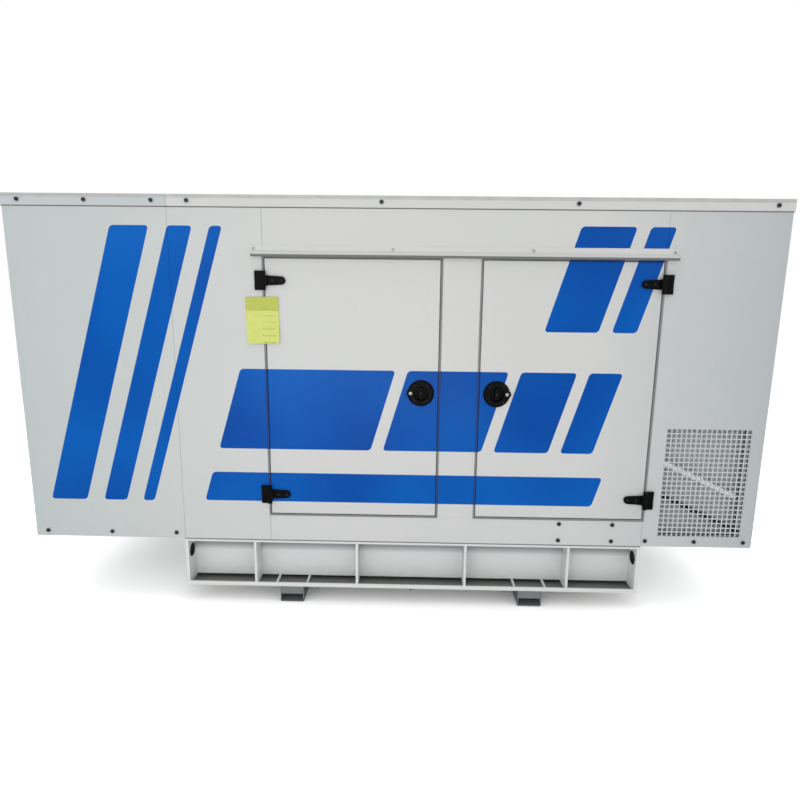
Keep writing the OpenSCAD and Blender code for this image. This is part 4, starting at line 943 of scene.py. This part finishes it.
def corrugated(low_z, high_z, low_y, high_y, x, depth, pitch):
    """Fins as one folded sheet: the place along X goes back and forth by the depth with each
    half pitch of height, and the sheet is straight across."""
    count = int((high_z - low_z) / pitch) * 2
    z = np.linspace(low_z, high_z, count)
    fold = x + depth * (np.arange(count) % 2)
    ends = np.array([low_y, high_y])
    rows = np.stack([fold[:, None] + 0 * ends, ends + 0 * z[:, None], z[:, None] + 0 * ends], -1)
    return surface(rows, around=False)


fin_x = radiator_low.x + 15 * MM - FIN_DEPTH - 0.3 * MM
fins = corrugated(core_low_z, core_high_z, radiator_low.y + CORE_IN, radiator_high.y - CORE_IN,
                  fin_x, FIN_DEPTH, FIN_PITCH)
fin_metal = mottled("blackened copper fins", "#3a3b3c", "#565552", 24.0, 4.0, roughness=0.55,
                    metallic=0.5)
piece("radiator_fins", fins, fin_metal)
TUBE_W = 4 * MM
water_tube = bar([(-TUBE_W / 2, core_low_z), (TUBE_W / 2, core_low_z), (TUBE_W / 2, core_high_z),
                  (-TUBE_W / 2, core_high_z)], fin_x - 1.5 * MM, fin_x + FIN_DEPTH)
tube_ys = np.linspace(radiator_low.y + CORE_IN + 12 * MM, radiator_high.y - CORE_IN - 12 * MM, 20)
piece("radiator_tubes", copies(water_tube, [(0, y, 0) for y in tube_ys]), fin_metal)

# ---- Fan, guard and belt ----
# A guard welded of wire hoops and spokes closes the shroud, and one V-belt runs from the
# crankshaft to the fan.
block_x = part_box("fan")[1].x
shroud_low, shroud_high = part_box("fan_shroud")
fan_z = (shroud_low.z + shroud_high.z) / 2
CRANK_DROP = 140 * MM
belt_x = block_x - 28 * MM
CRANK_BELT_R = 72 * MM
FAN_BELT_R = 44 * MM
# At each angle the belt lies on the pulley that reaches further out that way
turn = np.arange(96) * 2 * np.pi / 96
on_fan = CRANK_DROP * np.cos(turn) + FAN_BELT_R > CRANK_BELT_R
centre = np.where(on_fan, fan_z, fan_z - CRANK_DROP)
round_r = np.where(on_fan, FAN_BELT_R, CRANK_BELT_R)
section = np.array([(-5, -4), (5, -4), (6.5, 4), (-6.5, 4), (-5, -4)]) * MM
belt_rows = np.stack([belt_x + section[:, :1] + 0 * turn,
                      (round_r + section[:, 1:]) * np.sin(turn),
                      centre + (round_r + section[:, 1:]) * np.cos(turn)], -1)
piece("fan_belt", surface(belt_rows), rubber)


def ring(radius, wire, steps=56, sides=6):
    """A hoop of wire about X: a circle of the wire's radius carried round the hoop's."""
    bend = np.arange(sides + 1) * 2 * np.pi / sides
    span = np.arange(steps) * 2 * np.pi / steps
    reach = radius + wire * np.cos(bend)[:, None]
    rows = np.stack([wire * np.sin(bend)[:, None] + 0 * span, reach * np.cos(span),
                     reach * np.sin(span)], -1)
    return surface(rows)


def about_x(angle):
    """The directions of X, Y and Z after a turn about X."""
    return (1, 0, 0), (0, np.cos(angle), np.sin(angle)), (0, -np.sin(angle), np.cos(angle))


WIRE_R = 1.8 * MM
guard_x = shroud_high.x + WIRE_R + 0.5 * MM
hoops = [ring(radius, WIRE_R) for radius in np.arange(93 * MM, 283 * MM, 19 * MM)]
spoke = lathe([(0, 88), (WIRE_R / MM, 88), (WIRE_R / MM, 292), (0, 292)], steps=6)
spokes = [moved(turned(spoke, about_x(a)), (1.5 * WIRE_R, 0, 0))
          for a in np.arange(8) * np.pi / 4 + np.pi / 8]
piece("fan_guard", moved(joined(*hoops, *spokes), (guard_x, 0, fan_z)), black_steel)

# ---- Engine ----
# Cast block, head and manifolds in grey enamel, with plated bolts, steel fuel pipes, a spin-on
# oil filter and a dipstick.
engine_paint, *_ = powder_coat("engine enamel", "#7d8285", "#6e7377", 0.4)
dress(engine_paint, "engine")
crank_z = fan_z - CRANK_DROP
HEAD_BOLT_PITCH = 58.5 * MM
HEAD_BOLT_Y = 108 * MM
CASE_BOLT_PITCH = 62 * MM
CASE_Y = 151 * MM
head_top = crank_z + 430 * MM
bolt = lathe([(0, 0), (11, 0), (11, 2), (8.5, 2.01), (8.5, 8.5), (7, 9.5), (0, 9.5)], steps=6)
head_bolts = [(block_x + 60 * MM + k * HEAD_BOLT_PITCH, side * HEAD_BOLT_Y, head_top)
              for k in range(11) for side in (-1, 1)]
case_bolts = [(block_x + 40 * MM + k * CASE_BOLT_PITCH, -CASE_Y, crank_z + 290 * MM)
              for k in range(11)]
piece("engine_bolts", joined(copies(bolt, head_bolts), copies(turned(bolt, TO_FRONT), case_bolts)),
      zinc)


def smooth_path(points, count=48):
    """A smooth line through given points: each stretch is a cubic whose ends follow the
    chord between the neighbouring points."""
    points = np.array(points, float)
    along = np.linspace(0, len(points) - 1.0001, count)
    k = along.astype(int)
    t = (along - k)[:, None]
    lean = np.gradient(points, axis=0)
    a, b, u, v = points[k], points[k + 1], lean[k], lean[k + 1]
    return ((2 * t**3 - 3 * t**2 + 1) * a + (t**3 - 2 * t**2 + t) * u
            + (3 * t**2 - 2 * t**3) * b + (t**3 - t**2) * v)


def pipe(path, radius, sides=10):
    """A round bar along a path, closed at its ends. Each ring of points stands square to the
    path, on one direction square to both the path and a line near X, and a second square to
    the first."""
    ahead = np.gradient(path, axis=0)
    ahead /= np.linalg.norm(ahead, axis=1)[:, None]
    aside = np.cross(ahead, (1, 0.02, 0.01))
    aside /= np.linalg.norm(aside, axis=1)[:, None]
    above = np.cross(ahead, aside)
    angle = np.arange(sides) * 2 * np.pi / sides
    size = np.full(len(path), radius)[:, None, None]
    size[[0, -1]] = 0
    return surface(path[:, None] + size * (np.cos(angle)[None, :, None] * aside[:, None]
                                           + np.sin(angle)[None, :, None] * above[:, None]))


# Injection pipes: up from the pump, out past the intake pipe, and down to each injector
steel_pipe = mottled("zinc-yellow fuel pipe", "#a8a28a", "#8e8b80", 60.0, 3.0, roughness=0.36,
                     metallic=0.7)
PUMP_PITCH = 46 * MM
pump_x = block_x + 225 * MM
pump_y = -227.5 * MM
pump_z = crank_z + 100 * MM
BORE_PITCH = 150 * MM
first_bore = block_x + 125 * MM
WAY_Y = -246 * MM
INJECTOR_Y = -100 * MM
nut = lathe([(0, 0), (8, 0), (8, 12), (5, 14), (0, 14)], steps=6)
pipes, nut_places = [], []
for k in range(4):
    x0 = pump_x + k * PUMP_PITCH
    x1 = first_bore + k * BORE_PITCH
    way = [(x0, pump_y, pump_z), (x0, pump_y, pump_z + 60 * MM),
           (x0 + (x1 - x0) * 0.15, WAY_Y, pump_z + 140 * MM),
           (x0 + (x1 - x0) * 0.85, WAY_Y, head_top - 60 * MM),
           (x1, WAY_Y + 21 * MM, head_top + 26 * MM),
           (x1, INJECTOR_Y - 50 * MM, head_top + 48 * MM),
           (x1, INJECTOR_Y - 4 * MM, head_top + 30 * MM), (x1, INJECTOR_Y, head_top + 8 * MM)]
    pipes.append(pipe(smooth_path(way), 3.2 * MM))
    nut_places += [(x0, pump_y, pump_z), (x1, INJECTOR_Y, head_top)]
piece("fuel_pipes", joined(*pipes), steel_pipe)
piece("fuel_pipe_nuts", copies(nut, nut_places), zinc)

# Spin-on oil filter: a painted can with pressed flutes at its foot
can_paint, *_ = powder_coat("baked enamel on drawn steel", "#d8d9d6", "#cfd1ce", 0.3)
CAN_R = 46 * MM
can_x = block_x + 520 * MM
can_y = -190 * MM - CAN_R
can_z = crank_z - 100 * MM
height = np.array([-1.0, -0.8, 4, 12, 30, 34, 112, 118]) * MM
reach = CAN_R + np.array([-46.0, -8, 0.6, 0.9, 0.9, 0.6, 0.6, 0.2]) * MM
span = np.arange(72) * 2 * np.pi / 72
flute = 1 - 0.012 * (np.cos(18 * span) > 0) * (height[:, None] < 32 * MM)
can_rows = np.stack([reach[:, None] * flute * np.cos(span), reach[:, None] * flute * np.sin(span),
                     height[:, None] + 0 * span], -1)
piece("oil_filter_can", moved(surface(can_rows), (can_x, can_y, can_z)), can_paint)

# Dipstick tube with a ring handle
stick_x = block_x + 455 * MM
STICK_BENDS = ((-196, -30), (-214, 40), (-214, 160), (-206, 236))
stick = pipe(smooth_path([(stick_x, y * MM, crank_z + z * MM) for y, z in STICK_BENDS], 24),
             4.5 * MM)
handle = moved(ring(12 * MM, 2.6 * MM, 28), (stick_x, -206 * MM, crank_z + 248 * MM))
piece("dipstick_tube", stick, steel_pipe)
yellow = mottled("yellow moulded nylon", "#d9a514", "#cc9710", 200.0, roughness=0.45)
piece("dipstick_handle", handle, yellow)

# ---- Coolant hose ----
# Fabric-reinforced rubber, held at each end by a worm-drive clamp of plated band.
dress(rubber, "coolant_hose")
hose_low, hose_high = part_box("coolant_hose")
HOSE_R = 24 * MM
band = lathe([(24, 0), (25.2, 0), (25.2, 12), (24, 12), (24, 0)], steps=40)
worm = lathe([(0, -9), (5.5, -9), (5.5, 9), (3, 10), (3, 14), (0, 14)], steps=12)
worm = moved(turned(worm, ((0, 0, 1), (0, 1, 0), (-1, 0, 0))), (0, -HOSE_R - 5 * MM, 6 * MM))
clamp_places = [(hose_low.x + HOSE_R, 0, radiator_high.z - 10 * MM),
                (hose_high.x - HOSE_R, 0, hose_low.z + 8 * MM)]
piece("hose_clamps", copies(joined(band, worm), clamp_places), zinc)

# ---- Alternator ----
# Cast iron and sheet steel in blue enamel, bolted to the flywheel housing.
alternator_paint, *_ = powder_coat("alternator enamel", "#3c5878", "#34506f", 0.35)
dress(alternator_paint, "alternator")
alternator_low, alternator_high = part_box("alternator")
around = np.arange(11.25, 360, 22.5)
flange_x = alternator_low.x + 53 * MM
flange_bolts = [(flange_x, y, crank_z + z) for y, z in on_circle(205 * MM, around)]
bell_x = alternator_high.x - 96 * MM
bell_bolts = [(bell_x, y, crank_z + z) for y, z in on_circle(196 * MM, around[::2])]
BOX_Y = 151 * MM
box_screws = [(x, -BOX_Y, crank_z + z * MM) for z in (172, 288)
              for x in np.linspace(alternator_low.x + 146 * MM, alternator_low.x + 414 * MM, 4)]
small_head = lathe([(0, 0), (6, 0), (6, 1.4), (4.2, 3.6), (0, 4.2)], steps=6)
piece("alternator_bolts", joined(copies(turned(bolt, TO_RIGHT), flange_bolts + bell_bolts),
                                 mirrored(copies(turned(small_head, TO_FRONT), box_screws))),
      zinc)


def slab(width, height, thick, corner, edge=0.8, steps=5):
    """A plate in X and Y with round corners and small chamfers, in millimetres. Its outline is
    four quarter circles about the corners of a smaller rectangle, drawn in at the chamfers."""
    quarter = np.repeat(np.arange(4), steps)
    angle = (quarter + np.tile(np.linspace(0, 1, steps), 4)) * np.pi / 2
    side_x = np.where((quarter == 0) | (quarter == 3), 1, -1) * (width / 2 - corner)
    side_y = np.where(quarter < 2, 1, -1) * (height / 2 - corner)
    levels = np.array([(0, 0, 0), (1, corner - edge, 0), (1, corner, edge),
                       (1, corner, thick - edge), (1, corner - edge, thick), (0, 0, thick)])
    share, radius, up = levels.T[:, :, None]
    return surface(MM * np.stack([share * side_x + radius * np.cos(angle),
                                  share * side_y + radius * np.sin(angle), up + 0 * angle], -1))


# Dark covers, 1.6 mm proud, over the cooling slots round the end bell
vent = moved(slab(46, 9, 1.6, 4.4), (bell_x - 24 * MM, 0, 194 * MM))
vents = [turned(vent, about_x(-a)) for a in np.radians(np.arange(0, 360, 9))]
piece("alternator_vents", moved(joined(*vents), (0, 0, crank_z)), black_steel)

# Bolts that hold the machine's feet to its beams
MOUNT_Y = 258 * MM
mount_top = radiator_low.z + 17 * MM
mount_xs = (block_x + 90 * MM, alternator_low.x + 110 * MM, alternator_high.x - 140 * MM)
piece("mounting_bolts", mirrored(copies(bolt, [(x, -MOUNT_Y, mount_top) for x in mount_xs])),
      zinc)

# ---- Silencer ----
# Aluminised steel drum and pipes, browned by heat in patches. Four studs hold the riser's
# flange to the exhaust manifold.
exhaust, tree, shader, *_ = powder_coat("aluminised steel", "#96928b", "#827a70", 0.42)
connect(tree, shader, {"Metallic": 0.5})
dress(exhaust, "silencer")
RISER_Y = 185 * MM
riser_x = block_x + 350 * MM
flange_z = crank_z + 472 * MM
stud_places = [(riser_x + x, RISER_Y + y, flange_z)
               for x, y in on_circle(44 * MM, (45, 135, 225, 315))]
piece("exhaust_studs", copies(bolt, stud_places), black_steel)

# ---- Control cabinet ----
# Folded steel with a hinged door that carries a display, its keys and a stop button.
cabinet_paint, *_ = powder_coat("fine-textured cabinet paint", "#cfd1cf", "#c8cac9", 0.5)
dress(cabinet_paint, "control_cabinet")
cabinet_low, cabinet_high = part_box("control_cabinet")
cabinet_x = (cabinet_low.x + cabinet_high.x) / 2
door_y = cabinet_low.y + 14 * MM
screen_y = door_y - 8 * MM
cabinet_z = (cabinet_low.z + cabinet_high.z) / 2
screen_z = cabinet_z - 50 * MM
BEZEL_T = 5 * MM
bezel = moved(turned(slab(146, 106, BEZEL_T / MM, 8), TO_FRONT), (cabinet_x, screen_y, screen_z))
piece("controller_bezel", bezel, nylon)
glass = mottled("display glass", "#33404a", "#3d4b55", 40.0, roughness=0.12)
display = moved(turned(slab(84, 48, 1.2, 3, 0.4), TO_FRONT),
                (cabinet_x, screen_y - BEZEL_T, screen_z + 18 * MM))
piece("controller_display", display, glass)
key_paint, *_ = powder_coat("grey silicone keys", "#8c9194", "#84898c", 0.6)
key_shape = turned(slab(15, 11, 2.4, 3), TO_FRONT)
key_places = [(cabinet_x + k * 22 * MM, screen_y - BEZEL_T, screen_z - 30 * MM)
              for k in (-2, -1, 0, 1, 2)]
piece("controller_keys", copies(key_shape, key_places), key_paint)
stop_z = cabinet_low.z + 60 * MM
collar = lathe([(0, 0), (30, 0), (30, 1.5), (29, 2.2), (21, 2.2), (21, 0.5), (0, 0.5)], steps=40)
piece("stop_collar", moved(turned(collar, TO_FRONT), (cabinet_x, door_y, stop_z)), yellow)
red = mottled("red moulded plastic", "#b3161b", "#a51418", 120.0, roughness=0.35)
button = lathe([(0, 0), (16, 0), (16, 9), (21.5, 10), (21.5, 14), (19, 17.5), (11, 19.6),
                (0, 20.2)], steps=40)
piece("stop_button", moved(turned(button, TO_FRONT), (cabinet_x, door_y, stop_z)), red)
HINGE_IN = 70 * MM
hinge_pin = lathe([(0, -22), (4.5, -22), (4.5, 22), (0, 22)], steps=16)
pin_places = [(cabinet_low.x + 6 * MM, door_y + 1 * MM, z)
              for z in (cabinet_low.z + HINGE_IN, cabinet_high.z - HINGE_IN)]
lock = lathe([(0, 0), (11, 0), (11, 2), (8, 3.4), (2.5, 3.4), (2, 1.4), (0, 1.4)], steps=24)
lock = moved(turned(lock, TO_FRONT), (cabinet_high.x - 30 * MM, door_y, cabinet_z))
piece("cabinet_fittings", joined(copies(hinge_pin, pin_places), lock), zinc)

# ---- Battery ----
# Black case with six vent plugs, and a cap over each terminal.
dress(rubber, "battery")
battery_low, battery_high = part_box("battery")
lid_z = battery_high.z - 18 * MM
battery_y = (battery_low.y + battery_high.y) / 2
VENT_IN = 62 * MM
CAP_IN = 30 * MM
vent_plug = lathe([(0, 0), (11, 0), (11, 4), (9, 5.5), (3, 5.5), (3, 4), (0, 4)], steps=20)
vent_xs = np.linspace(battery_low.x + VENT_IN, battery_high.x - VENT_IN, 6)
piece("battery_vents", copies(vent_plug, [(x, battery_y + 34 * MM, lid_z) for x in vent_xs]),
      nylon)
cap_shape = lathe([(0, 0), (13, 0), (13, 14), (11, 20), (0, 22)], steps=24)
piece("battery_plus_cap", moved(cap_shape, (battery_low.x + CAP_IN, battery_y, lid_z)), red)
piece("battery_minus_cap", moved(cap_shape, (battery_high.x - CAP_IN, battery_y, lid_z)), nylon)
